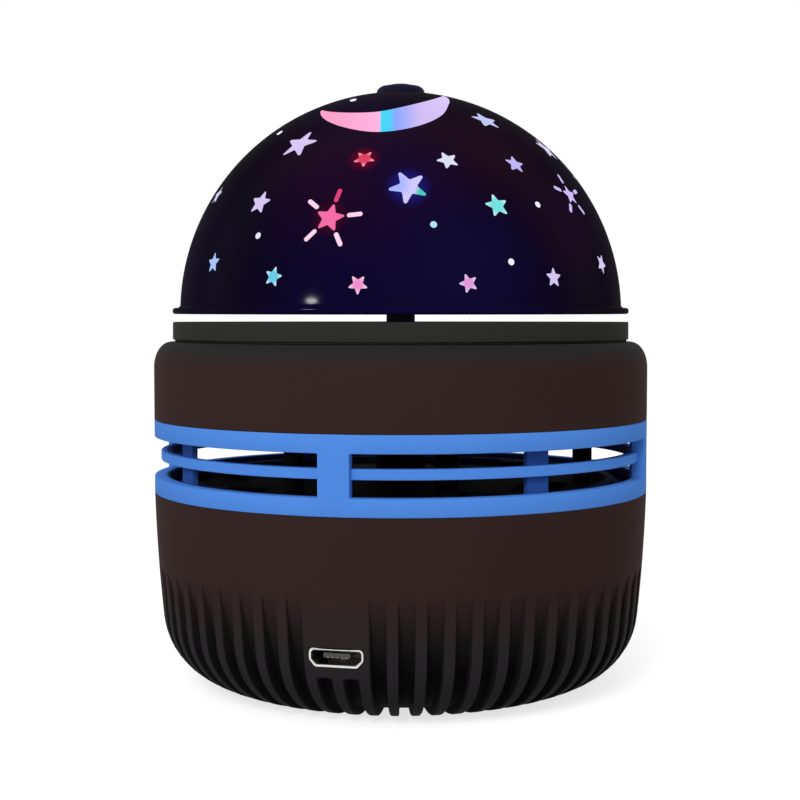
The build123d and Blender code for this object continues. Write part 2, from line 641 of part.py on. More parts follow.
# ---- upper housing: round-shouldered shell ----
SHOULDER_START = 48.0
SHOULDER_R = 35.0
HOUSING_INNER_R = 35.3
LIP_INNER_R = 31.5
LIP_BOTTOM = 50.2
shoulder_middle = (
    SHOULDER_R + (BODY_R - SHOULDER_R) * cos(pi / 4),
    SHOULDER_START + (SHOULDER_TOP - SHOULDER_START) * sin(pi / 4),
)
with BuildPart() as upper_housing:
    with BuildSketch(Plane.XZ):
        with BuildLine():
            Polyline((HOUSING_INNER_R, RING_TOP), (BODY_R, RING_TOP), (BODY_R, SHOULDER_START))
            EllipticalCenterArc(
                (SHOULDER_R, SHOULDER_START), BODY_R - SHOULDER_R, SHOULDER_TOP - SHOULDER_START,
                start_angle=0, arc_size=90,
            )
            Polyline(
                (SHOULDER_R, SHOULDER_TOP), (LIP_INNER_R, SHOULDER_TOP), (LIP_INNER_R, LIP_BOTTOM),
                (HOUSING_INNER_R - 1.0, LIP_BOTTOM), (HOUSING_INNER_R, LIP_BOTTOM - 1.2),
                (HOUSING_INNER_R, RING_TOP),
            )
        make_face()
    revolve(axis=Axis.Z)
save(upper_housing.part, "upper_housing")

# ---- vent ring: two bands, a middle ring, flush pillars and set-back posts ----
def ring_sector(outer, inner, bottom, top, azimuth, width_deg):
    left = at_azimuth(2 * outer, azimuth - width_deg / 2)
    right = at_azimuth(2 * outer, azimuth + width_deg / 2)
    with BuildSketch(Plane.XY.offset(bottom)) as profile:
        Circle(outer)
        Circle(inner, mode=Mode.SUBTRACT)
        Polygon((0, 0), left[:2], right[:2], align=None, mode=Mode.INTERSECT)
    extrude(profile.sketch, amount=top - bottom)


BAND_CHAMFER = 0.2
with BuildPart() as vent_ring:
    turned(
        (BAND_INNER_R, HOUSING_TOP), (BODY_R, HOUSING_TOP), (BODY_R, LOWER_BAND_TOP - BAND_CHAMFER),
        (BODY_R - BAND_CHAMFER, LOWER_BAND_TOP), (BAND_INNER_R, LOWER_BAND_TOP),
    )
    turned(
        (BAND_INNER_R, UPPER_BAND_BOTTOM), (BODY_R - BAND_CHAMFER, UPPER_BAND_BOTTOM),
        (BODY_R, UPPER_BAND_BOTTOM + BAND_CHAMFER), (BODY_R, RING_TOP), (BAND_INNER_R, RING_TOP),
    )
    tube(MIDDLE_R, MIDDLE_INNER_R, MIDDLE_BOTTOM, MIDDLE_TOP)
    for pillar_azimuth in (0, 90, 180, 270):
        ring_sector(BODY_R, BAND_INNER_R, HOUSING_TOP, RING_TOP, pillar_azimuth, PILLAR_DEG)
    with BuildSketch(Plane.XY.offset(HOUSING_TOP)):
        with PolarLocations((BACK_POST_R + BACK_POST_INNER_R) / 2, 4, start_angle=45):
            Rectangle(BACK_POST_R - BACK_POST_INNER_R, BACK_POST_WIDTH)
    extrude(amount=RING_TOP - HOUSING_TOP)
save(vent_ring.part, "vent_ring")

# ---- lower housing: ribbed bowl ----
WALL_TOP_R = BODY_R
WALL_MIDDLE = (37.14, 21.0)
FLOOR_TOP = 2.0
FLOOR_INNER_R = 22.5
INNER_CORNER = (33.3, 13.5)
CAVITY_R = 34.6
LEDGE_R = 33.4
BOSS_R = 2.6
BOARD_POSTS = ((-7.5, -26.5), (7.5, -26.5), (0.0, -14.5))
BOARD_POST_R = 1.7
channel_pitch = 360 / RIB_COUNT


def corner_arcs(level, low_radius, high_radius):
    """The lower corner in section, from the flat underside to the wall. Returns its upper end."""
    low = JernArc((CORNER_INNER_R, level), (1, 0), low_radius, LOW_ARC_TURN)
    high = JernArc(low @ 1, low % 1, high_radius, CORNER_TURN - LOW_ARC_TURN)
    return high @ 1


def bowl():
    with BuildSketch(Plane.XZ) as profile:
        with BuildLine():
            Line((0, 0), (CORNER_INNER_R, 0))
            corner_end = corner_arcs(0, LOW_ARC_R, HIGH_ARC_R)
            ThreePointArc(corner_end, WALL_MIDDLE, (WALL_TOP_R, HOUSING_TOP))
            Polyline(
                (WALL_TOP_R, HOUSING_TOP), (DECK_R + 0.1, HOUSING_TOP), (DECK_R + 0.1, DECK_BOTTOM),
                (LEDGE_R, DECK_BOTTOM), (LEDGE_R, DECK_BOTTOM - 0.8), (CAVITY_R, DECK_BOTTOM - 2.0),
                (CAVITY_R, 22.0), INNER_CORNER,
            )
            EllipticalCenterArc(
                (FLOOR_INNER_R, INNER_CORNER[1]), INNER_CORNER[0] - FLOOR_INNER_R,
                INNER_CORNER[1] - FLOOR_TOP, start_angle=270, arc_size=90,
            )
            Polyline((FLOOR_INNER_R, FLOOR_TOP), (0, FLOOR_TOP), (0, 0))
        make_face()
    revolve(profile.sketch, axis=Axis.Z)


def channel_cutter(top, rounded):
    """Slot that tapers towards the axis, cut only to the channels' depth."""
    half = tan(radians(CHANNEL_WIDTH_DEG / 2))
    with BuildPart(mode=Mode.PRIVATE) as cutter:
        for distance in (20.5, 40.0):
            with BuildSketch(Plane(origin=(0, -distance, 0), x_dir=(1, 0, 0), z_dir=(0, -1, 0))) as section:
                reach = distance * half
                Polygon((-reach, -1), (reach, -1), (reach, top), (-reach, top), align=None)
                if rounded:
                    fillet(section.vertices().sort_by(Axis.Y)[-2:], reach * 0.9)
        loft(ruled=True)
        with BuildSketch(Plane.XZ):
            with BuildLine():
                corner_end = corner_arcs(
                    CHANNEL_DEPTH, LOW_ARC_R - LOW_ARC_DEPTH, HIGH_ARC_R - HIGH_ARC_DEPTH
                )
                Polyline(corner_end, (37.1, CHANNEL_TOP), (38.4, 24), (45, 24), (45, -2), (20, -2))
                Polyline((20, -2), (20, CHANNEL_DEPTH), (CORNER_INNER_R, CHANNEL_DEPTH))
            make_face()
        revolve(axis=Axis.Z, mode=Mode.INTERSECT)
    return cutter.part


long_channel = channel_cutter(CHANNEL_TOP + 4.0, False)
short_channel = channel_cutter(SHORT_CHANNEL_TOP, True)
with BuildPart() as lower_housing:
    bowl()
    for boss in base_screw_points:
        disc(BOSS_R, FLOOR_TOP - 1.0, DECK_BOTTOM, boss)
        disc(SCREW_SHANK_R, DECK_BOTTOM - 8.0, DECK_BOTTOM, boss, Mode.SUBTRACT)
    for board_post in BOARD_POSTS:
        disc(BOARD_POST_R, FLOOR_TOP - 1.0, BOARD_BOTTOM, board_post)
        disc(SCREW_SHANK_R, BOARD_BOTTOM - 3.5, BOARD_BOTTOM, board_post, Mode.SUBTRACT)
    for channel in range(RIB_COUNT):
        beside_inlet = channel in (0, RIB_COUNT - 1)
        slot = short_channel if beside_inlet else long_channel
        add(slot.rotate(Axis.Z, channel_pitch * (channel + 0.5)), mode=Mode.SUBTRACT)
    block(-TONGUE_HALF - 0.3, TONGUE_HALF + 0.3, TONGUE_FRONT - 0.2, -28.0, BOARD_BOTTOM - 0.2,
          USB_Z + USB_HEIGHT / 2 + 0.3, Mode.SUBTRACT)
    block(
        -USB_WIDTH / 2 - 0.1, USB_WIDTH / 2 + 0.1, -39.0, -34.0,
        USB_Z - USB_HEIGHT / 2 - 0.1, USB_Z + USB_HEIGHT / 2 + 0.1, Mode.SUBTRACT,
    )
save(lower_housing.part, "lower_housing")
save(pan_screws(base_screw_points, DECK_TOP + 0.02, 8.5, 1.3, 2.0, up=False), "housing_screws")

# ---- main board and power inlet ----
with BuildPart() as main_board:
    block(-10.0, 10.0, -29.0, -13.0, BOARD_BOTTOM, BOARD_TOP)
    block(-12.0, 12.0, -18.5, -11.5, BOARD_BOTTOM, BOARD_TOP)
    block(-TONGUE_HALF, TONGUE_HALF, TONGUE_FRONT, -29.0, BOARD_BOTTOM, BOARD_TOP)
    for board_post in BOARD_POSTS:
        disc(SCREW_SHANK_R + 0.1, BOARD_BOTTOM, BOARD_TOP, board_post, Mode.SUBTRACT)
save(main_board.part, "main_board")
save(pan_screws(BOARD_POSTS, BOARD_TOP + 0.02, 4.4, 1.1, 1.6, up=False), "board_screws")

CHIP_AT = (-3.0, -20.5)
with BuildPart() as control_chip:
    block(CHIP_AT[0] - 2.5, CHIP_AT[0] + 2.5, CHIP_AT[1] - 2.0, CHIP_AT[1] + 2.0, BOARD_TOP + 0.1, BOARD_TOP + 1.6)
    for leg in range(4):
        for side in (-1, 1):
            with BuildSketch(Plane.XY.offset(BOARD_TOP)):
                with Locations((CHIP_AT[0] - 1.9 + 1.27 * leg, CHIP_AT[1] + side * 2.4)):
                    Rectangle(0.4, 1.0)
            extrude(amount=0.8)
save(control_chip.part, "control_chip")

with BuildPart() as smoothing_capacitor:
    disc(2.0, BOARD_TOP, BOARD_TOP + 5.4, (4.6, -18.5))
    fillet(smoothing_capacitor.edges().group_by(Axis.Z)[-1], 0.3)
save(smoothing_capacitor.part, "smoothing_capacitor")

SOCKET_HALF = 1.8
with BuildPart() as board_socket:
    block(LEAD_X - SOCKET_HALF, LEAD_X + SOCKET_HALF, LEAD_Y - SOCKET_HALF, LEAD_Y + SOCKET_HALF,
          BOARD_TOP, BOARD_TOP + 3.0)
save(board_socket.part, "board_socket")

with BuildPart() as lamp_socket:
    block(LEAD_X - SOCKET_HALF, LEAD_X + SOCKET_HALF, LEAD_Y - SOCKET_HALF, LEAD_Y + SOCKET_HALF,
          LED_BOARD_BOTTOM - 2.4, LED_BOARD_BOTTOM)
save(lamp_socket.part, "lamp_socket")

with BuildPart() as lamp_lead:
    disc(LEAD_R, BOARD_TOP + 3.0, LED_BOARD_BOTTOM - 2.4, (LEAD_X, LEAD_Y))
save(lamp_lead.part, "lamp_lead")

MOTOR_LEAD_R = 0.6
MOTOR_LEAD_Z = 4.0
lead_start = (MOTOR_AT[0], MOTOR_AT[1] - 6.0, MOTOR_BOTTOM)
lead_end = (-6.0, -16.0, BOARD_BOTTOM)
with BuildPart() as motor_lead:
    with BuildLine() as lead_path:
        FilletPolyline(
            lead_start, (lead_start[0], lead_start[1], MOTOR_LEAD_Z), (lead_end[0], lead_end[1], MOTOR_LEAD_Z),
            lead_end, radius=1.0,
        )
    with BuildSketch(Plane(origin=lead_path.line @ 0, z_dir=lead_path.line % 0)):
        Circle(MOTOR_LEAD_R)
    sweep(path=lead_path.line)
save(motor_lead.part, "motor_lead")

inlet_plane = Plane(origin=(0, USB_FACE_Y, USB_Z), x_dir=(1, 0, 0), z_dir=(0, -1, 0))
with BuildPart() as usb_shell:
    with BuildSketch(inlet_plane) as usb_outline:
        Polygon(
            (-USB_WIDTH / 2, USB_HEIGHT / 2), (-USB_WIDTH / 2, -0.3), (-2.9, -USB_HEIGHT / 2),
            (2.9, -USB_HEIGHT / 2), (USB_WIDTH / 2, -0.3), (USB_WIDTH / 2, USB_HEIGHT / 2), align=None,
        )
        fillet(usb_outline.vertices(), 0.45)
        offset(amount=-0.3, mode=Mode.SUBTRACT)
    extrude(amount=USB_FACE_Y - USB_BACK_Y)
save(usb_shell.part, "usb_shell")

TONGUE_Z = USB_Z + 0.25
with BuildPart() as usb_tongue:
    block(-1.85, 1.85, USB_FACE_Y + 0.6, USB_BACK_Y - 0.8, TONGUE_Z - 0.3, TONGUE_Z + 0.3)
    block(-2.4, 2.4, USB_BACK_Y - 0.8, USB_BACK_Y, USB_Z - 0.85, USB_Z + 0.9)
save(usb_tongue.part, "usb_tongue")

with BuildPart() as usb_contacts:
    for contact in range(5):
        contact_x = (contact - 2) * 0.65
        block(contact_x - 0.15, contact_x + 0.15, USB_FACE_Y + 0.8, USB_BACK_Y - 0.9,
              TONGUE_Z - 0.38, TONGUE_Z - 0.3)
save(usb_contacts.part, "usb_contacts")
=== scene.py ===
# %% [markdown]
# # A star night light, dressed in Blender
# The lamp is a dark dome with star windows that turns on a spindle above a round base. The packed
# CAD model gives every size and place. This script gives the lamp its looks: smooth meshes for
# what shows outside, and a procedural material for every piece, also the ones inside.

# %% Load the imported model
from math import acos, asin, atan2, ceil, cos, degrees, hypot, pi, radians, sin, sqrt, tan

import bmesh
import bpy
from mathutils import Euler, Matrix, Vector
from mathutils.geometry import delaunay_2d_cdt
from mathutils.kdtree import KDTree


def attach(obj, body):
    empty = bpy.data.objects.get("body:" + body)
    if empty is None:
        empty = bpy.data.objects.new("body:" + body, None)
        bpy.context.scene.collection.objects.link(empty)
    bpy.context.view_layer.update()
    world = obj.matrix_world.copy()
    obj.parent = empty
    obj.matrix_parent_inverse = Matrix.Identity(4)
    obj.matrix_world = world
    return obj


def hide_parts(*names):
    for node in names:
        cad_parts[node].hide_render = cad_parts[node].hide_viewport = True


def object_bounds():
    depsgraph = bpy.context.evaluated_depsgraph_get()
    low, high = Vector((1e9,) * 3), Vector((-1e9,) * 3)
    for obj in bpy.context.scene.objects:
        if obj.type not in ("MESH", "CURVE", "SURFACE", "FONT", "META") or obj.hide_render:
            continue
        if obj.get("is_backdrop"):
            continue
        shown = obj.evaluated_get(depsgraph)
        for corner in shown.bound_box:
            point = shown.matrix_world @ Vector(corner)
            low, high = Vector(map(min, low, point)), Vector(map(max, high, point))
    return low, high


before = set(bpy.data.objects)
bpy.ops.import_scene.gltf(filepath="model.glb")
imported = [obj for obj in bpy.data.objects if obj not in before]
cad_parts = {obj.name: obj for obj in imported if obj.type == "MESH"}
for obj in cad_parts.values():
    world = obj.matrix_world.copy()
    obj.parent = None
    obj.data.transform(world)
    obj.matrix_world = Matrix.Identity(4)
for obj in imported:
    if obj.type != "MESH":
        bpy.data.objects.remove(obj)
cad_low, cad_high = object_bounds()
scene = bpy.context.scene
MM = 0.001

# %% [markdown]
# ## Camera, light and floor
# A product picture of this lamp is taken from just above its middle, with a short telephoto lens
# and the lamp turned a little, so that the power inlet sits left of the middle. The camera comes
# first, because every later choice is judged through it.

# %% Camera
VIEW_TURN = 13.7          # degrees that the lamp is turned, seen from above
VIEW_DISTANCE = 233.5     # millimetres from the lamp's axis
VIEW_ASIDE = 0.1          # the camera stands this much to the left of that axis
VIEW_HEIGHT = 55.22       # millimetres above the table
VIEW_PITCH = 3.058        # degrees that the camera looks down
VIEW_LENS = 68.24         # millimetres, on Blender's 36 mm sensor


def at_azimuth(radius, azimuth, height, centre=(0.0, 0.0)):
    """A point in metres, from millimetres. Azimuth 0 is the inlet's side, and 90 its right."""
    turn = radians(azimuth)
    return Vector((centre[0] + radius * sin(turn), centre[1] - radius * cos(turn), height)) * MM


camera = bpy.data.objects.new("camera", bpy.data.cameras.new("camera"))
scene.collection.objects.link(camera)
aside = at_azimuth(VIEW_ASIDE, VIEW_TURN - 90, 0)
camera.location = at_azimuth(VIEW_DISTANCE, VIEW_TURN, VIEW_HEIGHT) + aside
camera.rotation_euler = Euler((radians(90 - VIEW_PITCH), 0, radians(VIEW_TURN)))
camera.data.lens = VIEW_LENS
camera.data.clip_start = 0.01
scene.camera = camera
print("camera at", [round(value, 4) for value in camera.location])

# %% [markdown]
# ## A helper for nodes
# Colours are written as sRGB hex values, as a paint shop or a web page gives them, and one
# function turns them to Blender's linear values. A second one adds a node, sets its properties and
# fills or links its inputs. Every material and node tree below is made with these two.

# %% Colour and node helpers
def linear(colour):
    """An sRGB hex value such as '4a8ae6' as linear red, green, blue and an alpha of 1."""
    values = [int(colour[i:i + 2], 16) / 255 for i in (0, 2, 4)]
    return tuple(v / 12.92 if v <= 0.04045 else ((v + 0.055) / 1.055) ** 2.4 for v in values) + (1.0,)


def add_node(tree, kind, inputs=None, **settings):
    made = tree.nodes.new(kind)
    for name, value in settings.items():
        setattr(made, name, value)
    for socket, value in (inputs or {}).items():
        if isinstance(value, bpy.types.NodeSocket):
            tree.links.new(value, made.inputs[socket])
        else:
            made.inputs[socket].default_value = value
    return made


print("linear mid grey:", round(linear("808080")[0], 3))

# %% [markdown]
# ## Soft studio light
# The world is an even, pale sky that fills the shadows. What the camera, a mirror or clear plastic
# sees of it is plain white, through the Light Path node, so the background costs no extra light.
# One large lamp from the front left and a weak one from the right give the plastic its form. Their
# own mirror images would stand on the dome as two grey discs, so glossy rays don't meet them. A
# lamp the size of a bulb does the opposite: it lights nothing and only leaves its small glint.

# %% World and lamps
FILL = 0.5                # strength of the sky's light
LAMP_AIM = Vector((0, 0, 45 * MM))


def background_rays(tree, *kinds):
    """1 for the kinds of ray that look at the background, 0 for the rays that gather light."""
    path = add_node(tree, "ShaderNodeLightPath")
    seen = path.outputs[kinds[0]]
    for kind in kinds[1:]:
        either = {0: seen, 1: path.outputs[kind]}
        seen = add_node(tree, "ShaderNodeMath", either, operation="MAXIMUM").outputs[0]
    return seen


world = bpy.data.worlds.new("studio")
world.use_nodes = True
scene.world = world
sky = world.node_tree
seen = background_rays(sky, "Is Camera Ray", "Is Glossy Ray", "Is Transmission Ray")
strength = add_node(sky, "ShaderNodeMapRange", {"Value": seen, "To Min": FILL, "To Max": 1.0})
sky.nodes["Background"].inputs["Color"].default_value = (1, 1, 1, 1)
sky.links.new(strength.outputs["Result"], sky.nodes["Background"].inputs["Strength"])


def area_lamp(name, azimuth, distance, height, width, tall, watts, in_mirrors):
    """Distance and height are in millimetres, and the lamp's own width and height in metres."""
    lamp = bpy.data.lights.new(name, "AREA")
    lamp.shape = "ELLIPSE"
    lamp.size = width
    lamp.size_y = tall
    lamp.energy = watts
    lamp_object = bpy.data.objects.new(name, lamp)
    lamp_object.location = at_azimuth(distance, azimuth, height)
    aim = LAMP_AIM - lamp_object.location
    lamp_object.rotation_euler = aim.to_track_quat("-Z", "Y").to_euler()
    lamp_object.visible_camera = False
    lamp_object.visible_glossy = in_mirrors
    lamp_object.visible_diffuse = not in_mirrors
    scene.collection.objects.link(lamp_object)


area_lamp("key_lamp", -4, 620, 420, 0.34, 0.34, 2.7, False)
area_lamp("side_lamp", 105, 600, 260, 0.40, 0.40, 0.25, False)
area_lamp("glint_lamp", -30, 620, 118, 0.062, 0.024, 2.6, True)
scene.view_settings.view_transform = "Standard"
print("studio: sky and", len(bpy.data.lights), "lamps")

# %% Floor
FLOOR_HALF = 3.0          # metres
PAPER_GLOW = 0.72         # brings the paper up to white for the camera alone
floor_mesh = bpy.data.meshes.new("floor")
corners = [(x * FLOOR_HALF, y * FLOOR_HALF, 0) for x, y in ((-1, -1), (1, -1), (1, 1), (-1, 1))]
floor_mesh.from_pydata(corners, [], [(0, 1, 2, 3)])
floor = bpy.data.objects.new("floor", floor_mesh)
scene.collection.objects.link(floor)
floor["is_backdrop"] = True

paper = bpy.data.materials.new("white_studio_paper")
paper.use_nodes = True
tree = paper.node_tree
paper_shader = tree.nodes["Principled BSDF"]
paper_shader.inputs["Base Color"].default_value = linear("c8c8c8")
paper_shader.inputs["Roughness"].default_value = 0.9
paper_shader.inputs["Specular IOR Level"].default_value = 0.0
seen = background_rays(tree, "Is Camera Ray", "Is Glossy Ray")
glow = add_node(tree, "ShaderNodeMapRange", {"Value": seen, "To Min": 0.0, "To Max": PAPER_GLOW})
paper_shader.inputs["Emission Color"].default_value = (1, 1, 1, 1)
tree.links.new(glow.outputs["Result"], paper_shader.inputs["Emission Strength"])
floor_mesh.materials.append(paper)
print("floor of", 2 * FLOOR_HALF, "metres")

# %% [markdown]
# ## Turning a profile
# Almost every part of this lamp is round, so it can be made as a potter or a lathe would: draw
# half of its section as radius and height, and turn it round the axis. Corners get a small fillet
# first, because moulded plastic has no knife edges and the fillet is what catches the light. A
# guard line close beside each fillet keeps the shading of the flat next to it even.

# %% Mesh helpers
TURN_STEPS = 192
SHARP = radians(32)       # edges that turn more than this stay sharp
GUARD = 0.15              # millimetres from a fillet to its guard line


def arc_points(centre, radius, start, end, steps):
    """Points from start to end, in radians, on a circle."""
    angles = [start + (end - start) * i / steps for i in range(steps + 1)]
    return [(centre[0] + radius * cos(a), centre[1] + radius * sin(a)) for a in angles]


def rounded(outline, steps=4, guards=True):
    """The closed outline with every corner that has a third value filleted by it."""
    made = []
    for i, corner in enumerate(outline):
        if len(corner) < 3:
            made.append(tuple(corner))
            continue
        here = Vector(corner[:2])
        back = Vector(outline[i - 1][:2]) - here
        ahead = Vector(outline[(i + 1) % len(outline)][:2]) - here
        half = back.angle(ahead) / 2
        reach = corner[2] / tan(half)
        back_way, ahead_way = back.normalized(), ahead.normalized()
        centre = here + (back_way + ahead_way).normalized() * corner[2] / sin(half)
        first = here + back_way * reach - centre
        last = here + ahead_way * reach - centre
        start = atan2(first.y, first.x)
        sweep = (atan2(last.y, last.x) - start + pi) % (2 * pi) - pi
        if guards and back.length > 3 * (reach + GUARD):
            made.append(tuple(here + back_way * (reach + GUARD)))
        made += arc_points(centre, corner[2], start, start + sweep, steps)
        if guards and ahead.length > 3 * (reach + GUARD):
            made.append(tuple(here + ahead_way * (reach + GUARD)))
    return made


def turn_profile(bm, profile, steps=TURN_STEPS, centre=(0.0, 0.0), start=0.0, sweep=360.0):
    """Turns a closed outline of radius and height, all the way round or through a sector."""
    whole = sweep >= 360
    count = steps if whole else steps + 1
    rings = []
    azimuths = [start + sweep * i / steps for i in range(count)]
    for radius, height in profile:
        if radius < 1e-6:
            rings.append([bm.verts.new(at_azimuth(0, 0, height, centre))] * count)
        else:
            rings.append([bm.verts.new(at_azimuth(radius, a, height, centre)) for a in azimuths])
    for ring, after in zip(rings, rings[1:] + rings[:1]):
        for i in range(steps):
            j = (i + 1) % count
            corners = list(dict.fromkeys((ring[i], after[i], after[j], ring[j])))
            if len(corners) > 2:
                bm.faces.new(corners)


def to_mesh(bm, name, merge=1e-6):
    """Closes the seams, points the faces outwards and marks the real edges sharp."""
    bmesh.ops.remove_doubles(bm, verts=bm.verts, dist=merge)
    bmesh.ops.recalc_face_normals(bm, faces=bm.faces)
    mesh = bpy.data.meshes.new(name)
    bm.to_mesh(mesh)
    bm.free()
    mesh.shade_smooth()
    mesh.set_sharp_from_angle(angle=SHARP)
    return mesh


def new_piece(name, mesh, body, material, replaced=None):
    """Puts a finished mesh in the scene, on its body, in place of its CAD node."""
    piece = bpy.data.objects.new(name, mesh)
    scene.collection.objects.link(piece)
    if material:
        mesh.materials.clear()
        mesh.materials.append(material)
    if body:
        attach(piece, body)
    if replaced:
        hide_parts(replaced)
    return piece


def turned_piece(name, profile, body, material, replaced, steps=TURN_STEPS):
    bm = bmesh.new()
    turn_profile(bm, rounded(profile), steps)
    return new_piece(name, to_mesh(bm, name), body, material, replaced)


print("a filleted square has", len(rounded([(0, 0, 1), (5, 0, 1), (5, 5, 1), (0, 5, 1)])), "points")

# %% [markdown]
# ## Moulded plastic
# The housings are ABS, moulded in a steel mould whose walls were spark-eroded to a fine satin
# grain. The eye sees a soft, wide highlight, a grain of about 0.2 mm and a very slight unevenness
# of the colour where the melt cooled at different speeds. One function makes all of the moulded
# plastics from a colour, a roughness and a grain size, so that they look like one family.

# %% Moulded plastics
GRAIN = 0.22              # millimetres between the grain's bumps, a little coarser than real
GRAIN_DEPTH = 0.012
PATCH = 22                # millimetres across the soft patches of colour
SATIN_SPECULAR = 0.04     # low, so that the white studio leaves no veil on the dark grain


def new_material(name):
    material = bpy.data.materials.new(name)
    material.use_nodes = True
    return material, material.node_tree, material.node_tree.nodes["Principled BSDF"]


def uneven_gloss(tree, shader, size, detail, low, high):
    """Spreads the roughness from low to high in spots of a size in millimetres. Returns the spots."""
    place = add_node(tree, "ShaderNodeTexCoord").outputs["Object"]
    spots = add_node(tree, "ShaderNodeTexNoise", {
        "Vector": place, "Scale": 1 / (size * MM), "Detail": detail}).outputs["Fac"]
    spread = add_node(tree, "ShaderNodeMapRange", {"Value": spots, "To Min": low, "To Max": high})
    tree.links.new(spread.outputs["Result"], shader.inputs["Roughness"])
    return spots


def covered(tree, base, hexed, value, none, full):
    """The base colour, covered by another between two values in millimetres, fully at the second."""
    part = add_node(tree, "ShaderNodeMapRange", {
        "Value": value, "From Min": none * MM, "From Max": full * MM}).outputs[0]
    return add_node(tree, "ShaderNodeMix", {
        0: part, 6: base, 7: linear(hexed)}, data_type="RGBA").outputs[2]


def moulded(name, colour, patch_colour, roughness, over=None):
    """Moulded ABS: two close colours in wide soft patches, under a fine spark-eroded grain."""
    material, tree, shader = new_material(name)
    place = add_node(tree, "ShaderNodeTexCoord").outputs["Object"]
    patches = add_node(tree, "ShaderNodeTexNoise", {
        "Vector": place, "Scale": 1 / (PATCH * MM), "Detail": 2.0}).outputs["Fac"]
    base = add_node(tree, "ShaderNodeMix", {
        0: patches, 6: linear(colour), 7: linear(patch_colour)}, data_type="RGBA").outputs[2]
    if over:
        base = over(tree, place, base)
    tree.links.new(base, shader.inputs["Base Color"])
    grain = uneven_gloss(tree, shader, GRAIN, 3.0, roughness - 0.05, roughness + 0.07)
    bump = add_node(tree, "ShaderNodeBump", {
        "Height": grain, "Distance": GRAIN_DEPTH * MM, "Strength": 0.7})
    tree.links.new(bump.outputs["Normal"], shader.inputs["Normal"])
    shader.inputs["Specular IOR Level"].default_value = SATIN_SPECULAR
    return material


def shade_by_height(none, full, hexed):
    """Covers the base with a colour between two heights in millimetres, fully from the second on."""
    def over(tree, place, base):
        height = add_node(tree, "ShaderNodeSeparateXYZ", {0: place}).outputs["Z"]
        return covered(tree, base, hexed, height, none, full)
    return over


def shade_by_radius(none, full, hexed):
    """The same, with distances from the axis."""
    def over(tree, place, base):
        level = add_node(tree, "ShaderNodeVectorMath", {0: place, 1: (1, 1, 0)}, operation="MULTIPLY")
        away = add_node(tree, "ShaderNodeVectorMath", {0: level.outputs[0]}, operation="LENGTH")
        return covered(tree, base, hexed, away.outputs["Value"], none, full)
    return over


grey_shoulder = shade_by_height(48.5, 51.0, "262626")     # the shoulder turns a neutral grey from 48.5 mm up
painted_inner_shade = shade_by_radius(35.8, 35.6, "2c5296")        # painted shade on the faces that look inwards, and on the set-back posts
painted_ring_bounce = shade_by_radius(30.9, 31.1, "3a3a66")          # painted bounce light: the ring's blue reflected on the deck's rim
black_abs = moulded("black_moulded_abs", "362523", "312220", 0.8, grey_shoulder)
grey_abs = moulded("grey_moulded_abs", "30312d", "2c2d2a", 0.8)
blue_abs = moulded("blue_moulded_abs", "5590e8", "4f8be4", 0.75, painted_inner_shade)
inner_abs = moulded("inner_black_abs", "08080b", "0b0b10", 0.8)
deck_abs = moulded("deck_black_abs", "08080b", "0b0b10", 0.8, painted_ring_bounce)
cap_abs = moulded("cap_black_abs", "191632", "17152d", 0.6)
moulded_plastics = (black_abs, grey_abs, blue_abs, inner_abs, deck_abs, cap_abs)
print("moulded plastics:", *(material.name for material in moulded_plastics))

# %% [markdown]
# ## The windows' outlines
# The dome's dark shell has windows of four kinds: stars, stars with five rays, dots and a crescent
# moon. Each is drawn flat first, in millimetres, on a plane that touches the dome where the
# window's middle is. The stars and rays are polygons with rounded tips. The moon is a closed chain
# of five arcs, eased where they join, because a crescent of two plain circles would be too stiff.

# %% Window outlines
DOME_R = 33.55
DOME_CENTRE = 55.97
MASK_INNER_R = 32.75
BIG_STAR = 2.6            # stars larger than this have slimmer arms
STAR_WAIST = 0.5          # parts of a star's size
BIG_STAR_WAIST = 0.43
STAR_TIP_R = 0.09
RAY_WIDTH = 0.66
DOT_WIDTH = 0.96
MOON_ARCS = (             # start, middle and end of the crescent's arcs, anticlockwise
    ((-9.8, 0.0), (-6.7, -7.6), (0.0, -11.4)), ((0.0, -11.4), (6.7, -8.3), (8.9, -0.8)),
    ((8.9, -0.8), (8.7, 3.3), (7.2, 7.6)), ((7.2, 7.6), (5.5, -0.8), (0.0, -5.8)),
    ((0.0, -5.8), (-5.4, -4.7), (-9.8, 0.0)),
)
ARC_STEPS = 20
HORNS = ((-9.8, 0.0), (7.2, 7.6))
HORN_R = 0.15
HORN_REACH = 1.3          # arc points closer to a horn than this make room for its fillet
EASE_PASSES = 6


def star_outline(size, tip_angle):
    """Five arms with round tips that reach out to size."""
    waist = size * (BIG_STAR_WAIST if size > BIG_STAR else STAR_WAIST)
    fillet = STAR_TIP_R * size
    half_tip = atan2(waist * sin(pi / 5), size - waist * cos(pi / 5))
    corner = size + fillet * (1 / sin(half_tip) - 1)
    corners = []
    for i in range(10):
        reach = corner if i % 2 == 0 else waist
        angle = radians(tip_angle + 36 * i)
        corners.append((reach * cos(angle), reach * sin(angle), fillet))
    return rounded(corners, steps=4, guards=False)


def slot_outline(middle, length, width, angle):
    """A slot with round ends, or a dot where its length is its width. The angle is in degrees."""
    half = width / 2
    straight = max(0.0, length / 2 - half)
    if straight:
        flat = arc_points((straight, 0), half, -pi / 2, pi / 2, 8)
        flat += arc_points((-straight, 0), half, pi / 2, 3 * pi / 2, 8)
    else:
        flat = arc_points((0, 0), half, 0, 2 * pi, 16)[:-1]
    c, s = cos(radians(angle)), sin(radians(angle))
    return [((middle + x) * c - y * s, (middle + x) * s + y * c) for x, y in flat]


